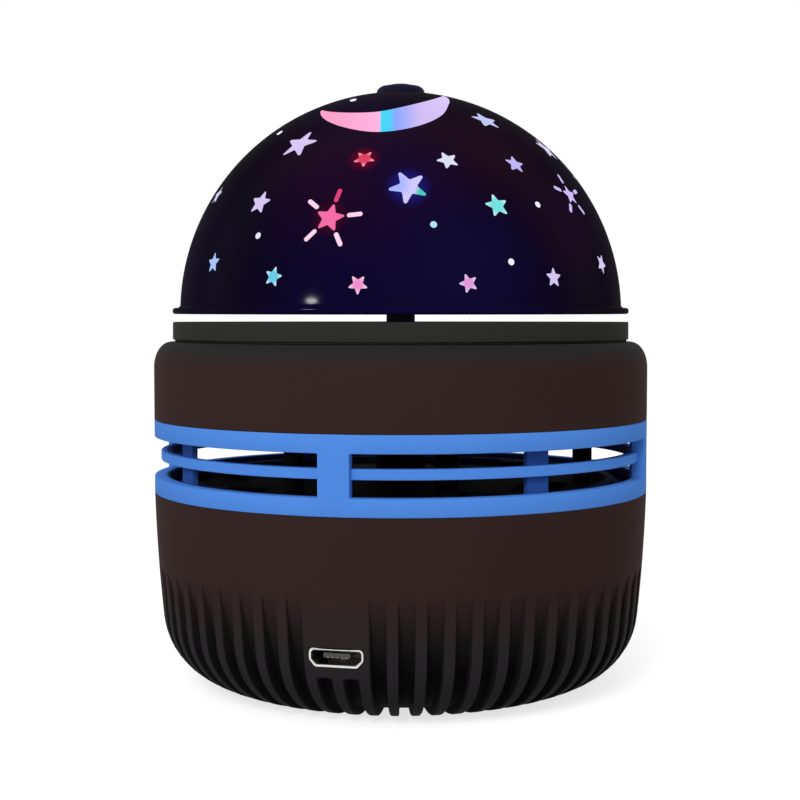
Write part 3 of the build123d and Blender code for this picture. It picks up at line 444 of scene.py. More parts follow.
def arc_through(first, middle, last, steps):
    """Points from the first on to just before the last, on the circle through all three."""
    a, b, c = Vector(first), Vector(middle), Vector(last)
    aa, bb, cc = a.length_squared, b.length_squared, c.length_squared
    d = 2 * (a.x * (b.y - c.y) + b.x * (c.y - a.y) + c.x * (a.y - b.y))
    x = (aa * (b.y - c.y) + bb * (c.y - a.y) + cc * (a.y - b.y)) / d
    y = (aa * (c.x - b.x) + bb * (a.x - c.x) + cc * (b.x - a.x)) / d
    centre = Vector((x, y))
    start = atan2(a.y - y, a.x - x)
    sweep = (atan2(c.y - y, c.x - x) - start + pi) % (2 * pi) - pi
    return arc_points(centre, (a - centre).length, start, start + sweep, steps)[:-1]


def moon_outline():
    """The crescent's five arcs, with their joints eased and its two horns rounded."""
    flat = [Vector(point) for arc in MOON_ARCS for point in arc_through(*arc, ARC_STEPS)]
    away = [min((point - Vector(horn)).length for horn in HORNS) for point in flat]
    for _ in range(EASE_PASSES):
        triples = zip(flat[-1:] + flat, flat, flat[1:] + flat[:1], away)
        flat = [point if gap < HORN_REACH else (before + point * 2 + after) / 4
                for before, point, after, gap in triples]
    made = []
    for point, gap in zip(flat, away):
        if gap < 1e-6:
            made.append((*point, HORN_R))
        elif gap > HORN_REACH:
            made.append(tuple(point))
    return rounded(made, steps=6, guards=False)


print("moon outline points:", len(moon_outline()), "star:", len(star_outline(2.9, 0)))

# %% [markdown]
# ## Where the windows sit
# Each window has an azimuth and a latitude, then what its kind needs: a star its size and the
# direction of one tip, a star with rays also where its rays begin, end and point, and a dot its
# length and direction. The same set is repeated on the back, as on the real dome's two halves.

# %% Window places
STARS = (
    (-23.2, 45.2, 2.9, 11), (15.7, 30.4, 2.8, 44), (53.6, 55.6, 2.3, 14), (80.5, 46.2, 2.5, 10),
    (-55.3, 31.1, 1.6, 20), (2.7, 38.9, 1.5, 57), (27.8, 38.5, 1.6, 39), (50.9, 38.3, 1.6, 8),
    (-27, 27.2, 1.85, 11), (39.3, 25.8, 1.8, 28), (-39.8, 12.3, 1.5, 20), (-17.6, 8.5, 1.42, 4),
    (3.9, 6.5, 1.35, 53), (29.4, 6.8, 1.33, 38), (52.8, 8.4, 1.4, 16), (75.1, 12.3, 1.5, 62),
    (101, 27, 1.55, 70), (-76, 9, 1.55, 100),
)
SUNS = (
    (-4.2, 22.4, 2.1, 2.4, 4.55, (8.5, 79, 141, 224.5, 297)),
    (70.1, 30.3, 1.65, 1.95, 3.65, (17, 89, 161, 233, 305)),
)
DOTS = (
    (21.7, 20.6, 0.96, 0), (52.8, 26.6, 0.96, 0), (-24.2, 18.5, 0.96, 0), (40.6, 11.9, 0.96, 0),
    (88.2, 37, 0.96, 0), (-44.3, 51.7, 1.5, -26), (-20.3, 68.3, 2.0, -54), (101, 58, 0.96, 0),
)
MOON_AT = (4.3, 68)

windows = []              # (azimuth, latitude, flat outline)
for turn in (0, 180):
    windows.append((MOON_AT[0] + turn, MOON_AT[1], moon_outline()))
    windows += [(a + turn, b, star_outline(size, tip)) for a, b, size, tip in STARS]
    for a, b, size, ray_start, ray_end, ray_angles in SUNS:
        windows.append((a + turn, b, star_outline(size, ray_angles[0])))
        middle, length = (ray_start + ray_end) / 2, ray_end - ray_start
        windows += [(a + turn, b, slot_outline(middle, length, RAY_WIDTH, ray)) for ray in ray_angles]
    windows += [(a + turn, b, slot_outline(0, length, DOT_WIDTH, way)) for a, b, length, way in DOTS]
print("windows:", len(windows))

# %% [markdown]
# ## Cutting a sphere without scars
# A Boolean would cut the windows too, but it leaves long thin faces that crease a glossy ball.
# Instead the ball is unrolled to a disc, as a map with the crown in its middle. A constrained
# Delaunay triangulation fills that disc between the windows' outlines, and the result goes back
# onto the ball. The same map, kept inside the outlines instead, gives the panes of the diffuser.

# %% Ball skins
CROWN_HOLE_R = 1.5
CROWN_STEPS = 32
SKIN_STEP = 1.5           # degrees between the skin's points
ball_centre = Vector((0, 0, DOME_CENTRE))


def on_ball(azimuth, latitude, x, y, radius):
    """A point of a flat outline pushed along the window's axis onto a ball of that radius."""
    a, b = radians(azimuth), radians(latitude)
    out = Vector((sin(a) * cos(b), -cos(a) * cos(b), sin(b)))
    right = Vector((cos(a), sin(a), 0))
    return right * x + out.cross(right) * y + out * sqrt(radius * radius - x * x - y * y)


def flattened(point):
    """Map coordinates in degrees: the distance from the crown, in the azimuth's direction."""
    level = hypot(point.x, point.y)
    return Vector(point.xy) / level * degrees(atan2(level, point.z))


def raised(flat, radius):
    """The way back, from the map to the ball."""
    angle = radians(flat.length)
    way = flat.normalized()
    return Vector((way.x * sin(angle), way.y * sin(angle), cos(angle))) * radius


def grown(outline, amount):
    """The flat outline moved outwards by amount."""
    made = []
    for i, (x, y) in enumerate(outline):
        along = Vector(outline[(i + 1) % len(outline)]) - Vector(outline[i - 1])
        made.append((x + along.y / along.length * amount, y - along.x / along.length * amount))
    return made


def ring_on_map(away, count, shift=0.0):
    turns = [2 * pi * (i + shift) / count for i in range(count)]
    return [Vector((sin(turn), -cos(turn))) * away for turn in turns]


def crown_ring(radius):
    """The crown hole's edge, on the map."""
    return ring_on_map(degrees(asin(CROWN_HOLE_R / radius)), CROWN_STEPS)


def ball_skin(bm, radius, loops, lowest, step, keep_clear, panes=False):
    """Fills the ball between the windows' loops, down to the lowest latitude, or fills the loops."""
    foot = 90 - lowest
    hole = crown_ring(radius)[0].length
    edge = ring_on_map(foot, TURN_STEPS)
    points, faces = [], []
    for loop in [[flattened(p) for p in loop] for loop in loops] + [crown_ring(radius)]:
        faces.append(list(range(len(points), len(points) + len(loop))))
        points += loop
    tree = KDTree(len(points) + TURN_STEPS)
    for i, flat in enumerate(points + edge):
        tree.insert(raised(flat, radius), i)
    tree.balance()
    rim = list(range(len(points), len(points) + TURN_STEPS))
    points += edge
    edges = list(zip(rim, rim[1:] + rim[:1]))
    rings = ceil((foot - hole) / step)
    for ring in range(1, rings):
        away = hole + (foot - hole) * ring / rings
        count = max(8, round(360 * sin(radians(away)) / step))
        points += [flat for flat in ring_on_map(away, count, ring % 2 / 2)
                   if tree.find(raised(flat, radius))[2] > keep_clear]
    verts, _, triangles, _, _, owners = delaunay_2d_cdt(points, edges, faces, 0, 1e-7, True)
    made = {}
    for triangle, owner in zip(triangles, owners):
        if bool(owner) == panes and len(loops) not in owner:
            for i in triangle:
                if i not in made:
                    made[i] = bm.verts.new((raised(verts[i], radius) + ball_centre) * MM)
            bm.faces.new([made[i] for i in triangle])


def band(bm, low, high):
    """Joins two rings of the same number of vertices with a band of faces."""
    for i in range(len(low)):
        j = (i + 1) % len(low)
        bm.faces.new((low[i], low[j], high[j], high[i]))


def bridge(bm, first, second):
    """The same for two loops of points, given from the ball's centre."""
    low = [bm.verts.new((p + ball_centre) * MM) for p in first]
    high = [bm.verts.new((p + ball_centre) * MM) for p in second]
    band(bm, low, high)


def window_loops(radius, grow_by=0.0):
    return [[on_ball(azimuth, latitude, x, y, radius) for x, y in grown(outline, grow_by)]
            for azimuth, latitude, outline in windows]


def close_shell(bm, outer_r, inner_r, foot):
    """Joins an outer and an inner skin at the crown's hole, and by a row of points at the foot."""
    bridge(bm, *([raised(p, r) for p in crown_ring(r)] for r in (outer_r, inner_r)))
    azimuths = [360 * i / TURN_STEPS for i in range(TURN_STEPS)]
    rows = [[at_azimuth(r, a, z) / MM - ball_centre for a in azimuths] for r, z in foot]
    for row, after in zip(rows, rows[1:]):
        bridge(bm, row, after)


print("windows' loops have", sum(len(loop) for loop in window_loops(DOME_R)), "points")

# %% [markdown]
# ## Dark shell
# Walls join the shell's outer skin to its inner one round each window, behind a very fine chamfer.
# The outer skin's normals are set to point straight out from the ball's centre, so that its gloss
# is as even as the real moulding's.

# %% Dome mask
RIM = 0.03                # chamfer on the windows' outer edge
FLANGE_R = 34.66
FLANGE_BOTTOM = 55.97
FLANGE_TOP = 56.87
FLANGE_ROOT = 0.3         # the chamfer between the flange and the ball
FLANGE_EDGE = 0.35
root_top = FLANGE_TOP + FLANGE_ROOT + 0.02
flange_latitude = degrees(asin((root_top - DOME_CENTRE) / DOME_R))
flange_r = DOME_R * cos(radians(flange_latitude))
outer_loops = window_loops(DOME_R, RIM)
rim_loops = window_loops(DOME_R - RIM)
inner_loops = window_loops(MASK_INNER_R)
bm = bmesh.new()
ball_skin(bm, DOME_R, outer_loops, flange_latitude, SKIN_STEP, 0.42)
skin_faces = len(bm.faces)
ball_skin(bm, MASK_INNER_R, inner_loops, 0, SKIN_STEP * 2, 0.6)
for outer, rim, inner in zip(outer_loops, rim_loops, inner_loops):
    bridge(bm, outer, rim)
    bridge(bm, rim, inner)
flange = rounded([
    (flange_r, root_top), (DOME_R + FLANGE_ROOT, FLANGE_TOP), (FLANGE_R, FLANGE_TOP, FLANGE_EDGE),
    (FLANGE_R, FLANGE_BOTTOM, FLANGE_EDGE), (MASK_INNER_R, FLANGE_BOTTOM)])
close_shell(bm, DOME_R, MASK_INNER_R, flange)
mask_mesh = to_mesh(bm, "star_mask")

normals = [Vector(corner.vector) for corner in mask_mesh.corner_normals]
centre = ball_centre * MM
lowest = (root_top - 0.001) * MM
for face in mask_mesh.polygons:
    corners = [mask_mesh.vertices[i].co for i in face.vertices]
    if all(abs((c - centre).length - DOME_R * MM) < 1e-7 and c.z > lowest for c in corners):
        for loop, corner in zip(face.loop_indices, corners):
            normals[loop] = (corner - centre).normalized()
mask_mesh.normals_split_custom_set(normals)
print("dome mask faces:", len(mask_mesh.polygons), "of which outer skin", skin_faces)

# %% [markdown]
# ## Dark tinted shell
# The shell is moulded from a smoke-tinted polycarbonate, polished in the mould, so it is close to
# black. It is sharp in the mirror where it faces the eye and dull where it turns away, so that the
# white studio leaves no pale edge. With the lamps on, a little of their coloured light comes
# through the tint beside the windows. That is why the black isn't one black: it leans to wine red
# above and to navy below. Soft pools of colour, placed on the ball, give that.

# %% Pools of light, and the dome's two materials
def pool(tree, place, azimuth, latitude, width, core):
    """1 on the ball within core times width millimetres of a point, falling softly to 0 at width."""
    level = DOME_R * cos(radians(latitude))
    spot = at_azimuth(level, azimuth, DOME_CENTRE + DOME_R * sin(radians(latitude)))
    away = add_node(tree, "ShaderNodeVectorMath", {0: place, 1: spot}, operation="DISTANCE")
    return add_node(tree, "ShaderNodeMapRange", {
        "Value": away.outputs["Value"], "From Min": width * MM, "From Max": core * width * MM},
        interpolation_type="SMOOTHSTEP").outputs["Result"]


def pooled_colour(tree, place, colour, pools):
    for azimuth, latitude, width, core, hexed in pools:
        part = pool(tree, place, azimuth, latitude, width, core)
        colour = add_node(tree, "ShaderNodeMix", {
            0: part, 6: colour, 7: linear(hexed)}, data_type="RGBA").outputs[2]
    return colour


TINT_POOLS = (            # azimuth, latitude, width and core of each pool, and its colour
    (14, 4, 32, 0.3, "09042a"), (-45, 8, 20, 0.2, "080318"), (2, 40, 20, 0.1, "1e0420"),
    (40, 44, 16, 0.1, "1a0416"), (62, 22, 12, 0.1, "14021a"), (16, 32, 12, 0.1, "14062a"),
    (-12, 62, 12, 0.1, "0e031e"), (26, 12, 14, 0.0, "0e0830"), (-4.2, 34, 7.0, 0.0, "1c0624"),
    (2.7, 38.9, 2.6, 0.3, "58001e"), (-4.2, 22.4, 3.2, 0.3, "34041e"), (15.7, 30.4, 3.7, 0.1, "1c1a80"),
)
tinted, tree, shader = new_material("smoke_tinted_polycarbonate")
place = add_node(tree, "ShaderNodeTexCoord").outputs["Object"]
leak = pooled_colour(tree, place, linear("05000c"), TINT_POOLS)
shader.inputs["Base Color"].default_value = linear("020103")
tree.links.new(leak, shader.inputs["Emission Color"])
shader.inputs["Emission Strength"].default_value = 1.0
swirl = add_node(tree, "ShaderNodeTexNoise", {
    "Vector": place, "Scale": 1 / (9 * MM), "Detail": 2.0}).outputs["Fac"]
polish = add_node(tree, "ShaderNodeMapRange", {"Value": swirl, "To Min": 0.06, "To Max": 0.12})
slant = add_node(tree, "ShaderNodeLayerWeight", {"Blend": 0.5}).outputs["Facing"]
haze = add_node(tree, "ShaderNodeMapRange", {
    "Value": slant, "From Min": 0.25, "From Max": 0.6, "To Min": 0.0, "To Max": 0.66})
dulled = add_node(tree, "ShaderNodeMath", {0: polish.outputs[0], 1: haze.outputs[0]}, operation="ADD")
tree.links.new(dulled.outputs[0], shader.inputs["Roughness"])
shader.inputs["Specular IOR Level"].default_value = 0.01
new_piece("star_mask", mask_mesh, "dome", tinted, "star_mask_dome")
print("tint pools:", len(TINT_POOLS))

# %% [markdown]
# ## Lit panes
# The inner shell is frosted acrylic. It has a raised pane for every window, flush with the dark
# shell, so each shape is lit right up to its outline. Four lamps of different colours stand below
# it, so a window's colour depends on where it sits. The moon is wide enough to show four of them
# side by side, as bands.

# %% Frosted acrylic
PANE_POOLS = (
    (2.7, 38.9, 2.4, 0.9, "ff9db8"), (2.7, 38.9, 1.5, 0.4, "e0204e"), (-4.2, 22.4, 6.0, 0.9, "f8d2ea"),
    (-2.9, 28.6, 1.8, 0.8, "d8286a"), (-4.2, 22.4, 2.4, 0.8, "f2609e"), (15.7, 30.4, 3.6, 0.9, "cdc6fa"),
    (11.6, 31.4, 3.0, 0.3, "a2b4ff"), (20.3, 28.6, 1.8, 0.5, "3cc6b4"), (27.8, 38.5, 2.4, 0.9, "d8dcf2"),
    (39.3, 25.8, 2.4, 0.9, "c4f0ee"), (39.3, 25.8, 1.8, 0.4, "6fdcdc"), (-17.6, 8.5, 2.4, 0.9, "c8eef6"),
    (-17.6, 8.5, 1.4, 0.4, "58c4e0"), (-39.8, 12.3, 2.4, 0.9, "a0bcf0"), (3.9, 6.5, 2.4, 0.9, "fbd2ee"),
    (3.9, 6.5, 1.4, 0.3, "ea86c4"), (29.4, 6.8, 2.4, 0.9, "e4d2f6"), (29.4, 6.8, 1.4, 0.3, "dc92d8"),
    (53.6, 55.6, 3.0, 0.9, "b9bfee"), (50.9, 38.3, 2.4, 0.9, "b8b0ee"), (70.1, 30.3, 5.0, 0.9, "c9b4f0"),
    (21.7, 20.6, 1.2, 0.8, "aee2ee"), (52.8, 26.6, 1.2, 0.8, "f4eefc"), (40.6, 11.9, 1.2, 0.8, "f0eafc"),
    (-24.2, 18.5, 1.2, 0.8, "e8e6fc"), (-20.3, 68.3, 1.4, 0.9, "f4eefc"), (-44.3, 51.7, 1.2, 0.8, "f4eefc"),
)
MOON_BANDS = (            # millimetres to the right of the axis, and the colour there
    (-10.0, "f596be"), (-3.1, "fdaedd"), (-2.8, "22d2f2"), (-1.5, "30cdf4"), (-1.0, "7aa2fa"),
    (0.6, "a0a6f6"), (2.6, "cbb6ee"), (10.0, "d6c4f6"),
)
BAND_WAY = at_azimuth(1, 104, 0) / MM                 # the direction that crosses the bands
MOON_REACH = 11.8         # millimetres from the moon's middle to past its horns
frosted, tree, shader = new_material("frosted_acrylic")
place = add_node(tree, "ShaderNodeTexCoord").outputs["Object"]
to_right = add_node(tree, "ShaderNodeVectorMath", {0: place, 1: BAND_WAY}, operation="DOT_PRODUCT")
first, last = MOON_BANDS[0][0], MOON_BANDS[-1][0]
along = add_node(tree, "ShaderNodeMapRange", {
    "Value": to_right.outputs["Value"], "From Min": first * MM, "From Max": last * MM}).outputs[0]
bands = add_node(tree, "ShaderNodeValToRGB", {"Fac": along})
stops = bands.color_ramp.elements
for number, (right, hexed) in enumerate(MOON_BANDS):
    part = (right - first) / (last - first)
    stop = stops[0] if number == 0 else stops[-1] if right == last else stops.new(part)
    stop.position = part
    stop.color = linear(hexed)
on_moon = pool(tree, place, MOON_AT[0], MOON_AT[1], MOON_REACH, 0.98)
light = add_node(tree, "ShaderNodeMix", {
    0: on_moon, 6: linear("d0c2ee"), 7: bands.outputs["Color"]}, data_type="RGBA").outputs[2]
light = pooled_colour(tree, place, light, PANE_POOLS)
shader.inputs["Base Color"].default_value = linear("20202a")
shader.inputs["Roughness"].default_value = 0.6
shader.inputs["Specular IOR Level"].default_value = 0.2
tree.links.new(light, shader.inputs["Emission Color"])
shader.inputs["Emission Strength"].default_value = 1.0
print("pane colours:", len(PANE_POOLS), "moon bands:", len(MOON_BANDS))

# %% Diffuser with its panes
DIFFUSER_R = 32.70
DIFFUSER_INNER_R = 31.70
DIFFUSER_FOOT = 56.32
PANE_TOP_R = DOME_R - RIM
PANE_GAP = 0.01


def foot_latitude(radius):
    return degrees(asin((DIFFUSER_FOOT - DOME_CENTRE) / radius))


pane_feet, pane_tops = (window_loops(radius, -PANE_GAP) for radius in (DIFFUSER_R, PANE_TOP_R))
bm = bmesh.new()
ball_skin(bm, PANE_TOP_R, pane_tops, 0, SKIN_STEP, 0.4, panes=True)
pane_faces = len(bm.faces)
ball_skin(bm, DIFFUSER_R, pane_feet, foot_latitude(DIFFUSER_R), SKIN_STEP * 2, 0.6)
ball_skin(bm, DIFFUSER_INNER_R, [], foot_latitude(DIFFUSER_INNER_R), SKIN_STEP * 2, 0.6)
for low_loop, top_loop in zip(pane_feet, pane_tops):
    bridge(bm, low_loop, top_loop)
close_shell(bm, DIFFUSER_R, DIFFUSER_INNER_R, [
    (radius * cos(radians(foot_latitude(radius))), DIFFUSER_FOOT)
    for radius in (DIFFUSER_R, DIFFUSER_INNER_R)])
diffuser_mesh = to_mesh(bm, "frosted_diffuser")
new_piece("frosted_diffuser", diffuser_mesh, "dome", frosted, "diffuser_dome")
print("diffuser faces:", len(diffuser_mesh.polygons), "of which panes", pane_faces)

# %% [markdown]
# ## Cap and spindle
# A round cap is screwed on the spindle's thin end and holds the dome down. Both are turned
# profiles of radius and height, with a fillet as a third value where a corner has one.

# %% Cap and spindle
CAP_R, CAP_TOP, CAP_BOSS_R = 3.7, 90.6, 1.6
STUD_R, SPINDLE_R, SHAFT_R = 1.4, 2.19, 1.5
JOURNAL_TOP, STUD_FOOT = 42.3, 86.0
CROWN_TOP = 90.85

cap_profile = [
    (0, CROWN_TOP), (CAP_BOSS_R, CROWN_TOP, 0.12), (CAP_BOSS_R, CAP_TOP), (CAP_R, CAP_TOP, 1.1),
    (CAP_R, 89.38), (STUD_R, 89.57), (STUD_R, 90.25), (0, 90.25)]
turned_piece("crown_cap", cap_profile, "dome", cap_abs, "top_cap", 96)

spindle_profile = [
    (0, 25.8), (SHAFT_R, 25.8, 0.2), (SHAFT_R, JOURNAL_TOP), (SPINDLE_R, JOURNAL_TOP, 0.15),
    (SPINDLE_R, STUD_FOOT, 0.15), (STUD_R, STUD_FOOT), (STUD_R, 90.15, 0.2), (0, 90.15)]
turned_piece("spindle", spindle_profile, "dome", inner_abs, "dome_spindle", 64)
print("cap points:", len(rounded(cap_profile)), "spindle points:", len(rounded(spindle_profile)))

# %% [markdown]
# ## Collar and upper housing
# The collar is a plain ring that holds the clear cover. A narrow groove at its foot separates it
# from the housing, whose shoulder is a quarter of an ellipse. Both are turned profiles.

# %% Collar and upper housing
WALL_IN, WALL_OUT = 35.3, 37.5
HOUSING_BOTTOM = 40.2
SHOULDER_FOOT = 48.0
SHOULDER_WIDTH, SHOULDER_RISE = 2.5, 3.8
COLLAR_R, COLLAR_TOP = 34.65, 54.8
GROOVE_R, GROOVE_TOP = 34.35, 52.15

collar_profile = [
    (31.4, 51.9), (GROOVE_R, 51.9), (GROOVE_R, GROOVE_TOP), (COLLAR_R, GROOVE_TOP, 0.06),
    (COLLAR_R, COLLAR_TOP, 0.25), (32.5, COLLAR_TOP, 0.1), (32.5, 53.1), (31.4, 53.1)]
turned_piece("collar", collar_profile, "base", grey_abs, "collar_ring")

shoulder_turns = [radians(5 * i) for i in range(19)]
shoulder = [(WALL_OUT - SHOULDER_WIDTH * (1 - cos(a)), SHOULDER_FOOT + SHOULDER_RISE * sin(a))
            for a in shoulder_turns]
housing_profile = [
    (WALL_IN, HOUSING_BOTTOM), (WALL_OUT, HOUSING_BOTTOM, 0.12), (WALL_OUT, 44.0), *shoulder,
    (31.5, 51.8, 0.2), (31.5, 50.2), (34.3, 50.2), (WALL_IN, 49.0)]
turned_piece("shoulder_housing", housing_profile, "base", black_abs, "upper_housing")
print("collar and housing turned with", TURN_STEPS, "steps")

# %% [markdown]
# ## Blue vent ring
# The ring is one moulding: two bands joined by four flush pillars, with a set-back middle ring
# and four set-back posts between them. The bands and pillars are turned through sectors that meet
# point for point, so they merge to one closed shell. A Bevel modifier then takes the knife edge
# off every corner, as the mould does, and the result becomes a plain mesh.

# %% Vent ring
RING_BOTTOM = 29.3
SLOT_BOTTOM, SLOT_TOP = 31.8, 37.65
MIDDLE_IN, MIDDLE_OUT, MIDDLE_BOTTOM, MIDDLE_TOP = 34.9, 36.5, 34.15, 35.6
MIDDLE_FILLET = 0.15
PILLAR_HALF = 3.35        # degrees
POST_IN, POST_OUT, POST_HALF = 34.7, 35.5, 1.75
POST_INSET = 0.01         # keeps the posts' ends off the ring's faces
RING_EDGE = 0.16
SECTOR_STEPS = 44


def box_section(inner, outer, bottom, top):
    return [(inner, bottom), (outer, bottom), (outer, top), (inner, top)]


lower_band = box_section(WALL_IN, WALL_OUT, RING_BOTTOM, SLOT_BOTTOM)
upper_band = box_section(WALL_IN, WALL_OUT, SLOT_TOP, HOUSING_BOTTOM)
pillar = lower_band[:3] + upper_band[1:] + [upper_band[0], lower_band[3]]
pillar_side = [lower_band[3], lower_band[2], upper_band[1], upper_band[0]]


def with_modifier(piece, kind, **settings):
    """Adds a modifier, keeps its result as the piece's plain mesh and removes it again."""
    modifier = piece.modifiers.new(kind.lower(), kind)
    for name, value in settings.items():
        setattr(modifier, name, value)
    settled(piece)


def settled(piece):
    bpy.context.view_layer.update()
    mesh = bpy.data.meshes.new_from_object(piece.evaluated_get(bpy.context.evaluated_depsgraph_get()))
    piece.modifiers.clear()
    piece.data = mesh


bm = bmesh.new()
for middle in (0, 90, 180, 270):
    for section in (lower_band, upper_band):
        turn_profile(bm, section, SECTOR_STEPS, start=middle + PILLAR_HALF, sweep=90 - 2 * PILLAR_HALF)
    turn_profile(bm, pillar, 4, start=middle - PILLAR_HALF, sweep=2 * PILLAR_HALF)
    for side in (-PILLAR_HALF, PILLAR_HALF):
        bm.faces.new([bm.verts.new(at_azimuth(r, middle + side, z)) for r, z in pillar_side])
ring_shell = new_piece("ring_shell", to_mesh(bm, "ring_shell"), None, blue_abs)
with_modifier(ring_shell, "BEVEL", width=RING_EDGE * MM, segments=2, limit_method="ANGLE",
              angle_limit=SHARP, harden_normals=False)

bm = bmesh.new()
bm.from_mesh(ring_shell.data)
middle_ring = box_section(MIDDLE_IN, MIDDLE_OUT, MIDDLE_BOTTOM, MIDDLE_TOP)
turn_profile(bm, rounded([(*corner, MIDDLE_FILLET) for corner in middle_ring], 2))
rise = Vector((0, 0, (HOUSING_BOTTOM - RING_BOTTOM - 2 * POST_INSET) * MM))
for azimuth in (45, 135, 225, 315):
    across = at_azimuth(1.0, azimuth + 90, 0)
    corners = [at_azimuth(radius, azimuth, RING_BOTTOM + POST_INSET) + across * side
               for radius, side in box_section(POST_IN, POST_OUT, -POST_HALF, POST_HALF)]
    low = [bm.verts.new(c) for c in corners]
    high = [bm.verts.new(c + rise) for c in corners]
    bm.faces.new(low)
    bm.faces.new(high)
    band(bm, low, high)
bpy.data.objects.remove(ring_shell)
ring_mesh = to_mesh(bm, "vent_ring_shell")
new_piece("vent_ring_shell", ring_mesh, "base", blue_abs, "vent_ring")
print("vent ring faces:", len(ring_mesh.polygons))

# %% [markdown]
# ## Ribbed bowl
# Sixty channels run round the bowl's lower half and leave sixty ribs. Drawing them one by one
# would be slow and uneven, so one sector of six degrees is made, with one channel in its middle,
# and Geometry Nodes turn copies of it round the axis. The two sectors below the inlet have a
# short channel, so the tree takes a second sector and a rule for where it goes.

# %% One sector of the bowl
RIBS = 60
PITCH = 360 / RIBS
CHANNEL_HALF = 1.75       # degrees
CHANNEL_START = 20.5      # millimetres from the axis
CORNER_START = 22.8
LOW_TURN, CORNER_TURN = 24.5, 85.0
OUTER_ARCS = (17.0, 11.1)             # radii of the two arcs of the bowl's corner
CHANNEL_ARCS = (15.5, 9.3)            # and of the channels' floor
CHANNEL_DEPTH = 1.2
LONG_TIP, SHORT_TIP = 18.59, 7.6      # where the channels end, the short ones in a round tip
TIP_LENGTH = 1.0
RIB_EDGE = 0.14                       # chamfer along the ribs
WALL_MIDDLE = (37.14, 21.0)           # a point of the wall's shallow arc, as radius and height
RUN_OUT = (37.1, 19.0)                # where the channels' sloping floor would meet the wall
FLOOR_TOP = 2.0
INNER_FLAT_R = 22.5                   # the inside's flat floor, then a quarter of an ellipse
INNER_WIDTH, INNER_RISE = 10.8, 11.5
# The inside from the rim down to that ellipse, with a ledge that carries the lower deck.
INSIDE = [(34.3, RING_BOTTOM), (34.3, 29.0), (33.4, 29.0), (33.4, 28.2), (34.6, 27.0), (34.6, 22.0)]


def corner_point(angle, level, radii):
    """A point of two tangent arcs that rise from a flat, by the angle turned in degrees."""
    first = radians(min(angle, LOW_TURN))
    point = Vector((CORNER_START + radii[0] * sin(first), level + radii[0] * (1 - cos(first))))
    if angle > LOW_TURN:
        turn = radians(angle)
        point += Vector((sin(turn) - sin(first), cos(first) - cos(turn))) * radii[1]
    return tuple(point)


def wall_radius(z):
    """The wall above the corner: a parabola through the corner's end, the middle and the rim."""
    foot_r, foot_z = corner_point(CORNER_TURN, 0.0, OUTER_ARCS)
    middle_r, middle_z = WALL_MIDDLE
    low_slope = (middle_r - foot_r) / (middle_z - foot_z)
    high_slope = (WALL_OUT - middle_r) / (RING_BOTTOM - middle_z)
    bend = (high_slope - low_slope) / (RING_BOTTOM - foot_z)
    return foot_r + (low_slope + bend * (z - middle_z)) * (z - foot_z)


def channel_floor_radius(z):
    """The channels' floor above the corner slopes out until it meets the wall."""
    foot_r, foot_z = corner_point(CORNER_TURN, CHANNEL_DEPTH, CHANNEL_ARCS)
    return foot_r + (RUN_OUT[0] - foot_r) / (RUN_OUT[1] - foot_z) * (z - foot_z)


round_tip = [radians(15 * i) for i in range(7)]
high_centre = corner_point(LOW_TURN, 0.0, OUTER_ARCS)[1] + OUTER_ARCS[1] * cos(radians(LOW_TURN))
tip_heights = [SHORT_TIP - TIP_LENGTH * (1 - sin(a)) for a in round_tip]
tip_angles = [degrees(acos((high_centre - z) / OUTER_ARCS[1])) for z in tip_heights]
low_angles = [LOW_TURN * i / 5 for i in range(5)]
high_angles = [LOW_TURN + (CORNER_TURN - LOW_TURN) * i / 10 for i in range(11)]
corner_angles = low_angles + high_angles[:7] + tip_angles + high_angles[8:]
wall_heights = [12.3, 14.0, 15.6, 16.9, 17.9, LONG_TIP, 19.6, 21.5, 23.5, 25.5, 27.5, RING_BOTTOM]
outer_rows = [(CHANNEL_START, 0.0)]
floor_rows = [(CHANNEL_START, CHANNEL_DEPTH)]
for angle in corner_angles:
    outer_rows.append(corner_point(angle, 0.0, OUTER_ARCS))
    floor_rows.append(corner_point(angle, CHANNEL_DEPTH, CHANNEL_ARCS))
for z in wall_heights:
    outer_rows.append((wall_radius(z), z))
    floor_rows.append((wall_radius(z) if z >= LONG_TIP else channel_floor_radius(z), z))
long_rows = 2 + len(corner_angles) + wall_heights.index(LONG_TIP)
short_rows = 1 + corner_angles.index(tip_angles[0])
LONG_WIDTHS = [CHANNEL_HALF] * long_rows
SHORT_WIDTHS = [CHANNEL_HALF] * short_rows + [CHANNEL_HALF * cos(a) for a in round_tip[:-1]] + [0.0]


def channel_section(outer, floor, half):
    """One sector's section at a row, from side to side: rib, chamfer, channel wall, floor and back."""
    (outer_r, outer_z), (floor_r, floor_z) = outer, floor
    depth = hypot(outer_r - floor_r, outer_z - floor_z)
    edge = min(RIB_EDGE, 0.4 * depth) if half > 0 else 0.0
    part = edge / depth if depth > 0 else 0.0
    near = (outer_r + (floor_r - outer_r) * part, outer_z + (floor_z - outer_z) * part)
    lip = half + degrees(edge / outer_r)
    right = [(floor_r, floor_z, half), (*near, half), (*outer, lip), (*outer, PITCH / 2)]
    return [(r, z, -a) for r, z, a in reversed(right)] + [(floor_r, floor_z, 0.0)] + right


def inner_floor_z(part):
    """The inside's height on its ellipse, where part goes from 0 at the flat floor to 1 at the wall."""
    return FLOOR_TOP + INNER_RISE * (1 - sqrt(1 - part * part))


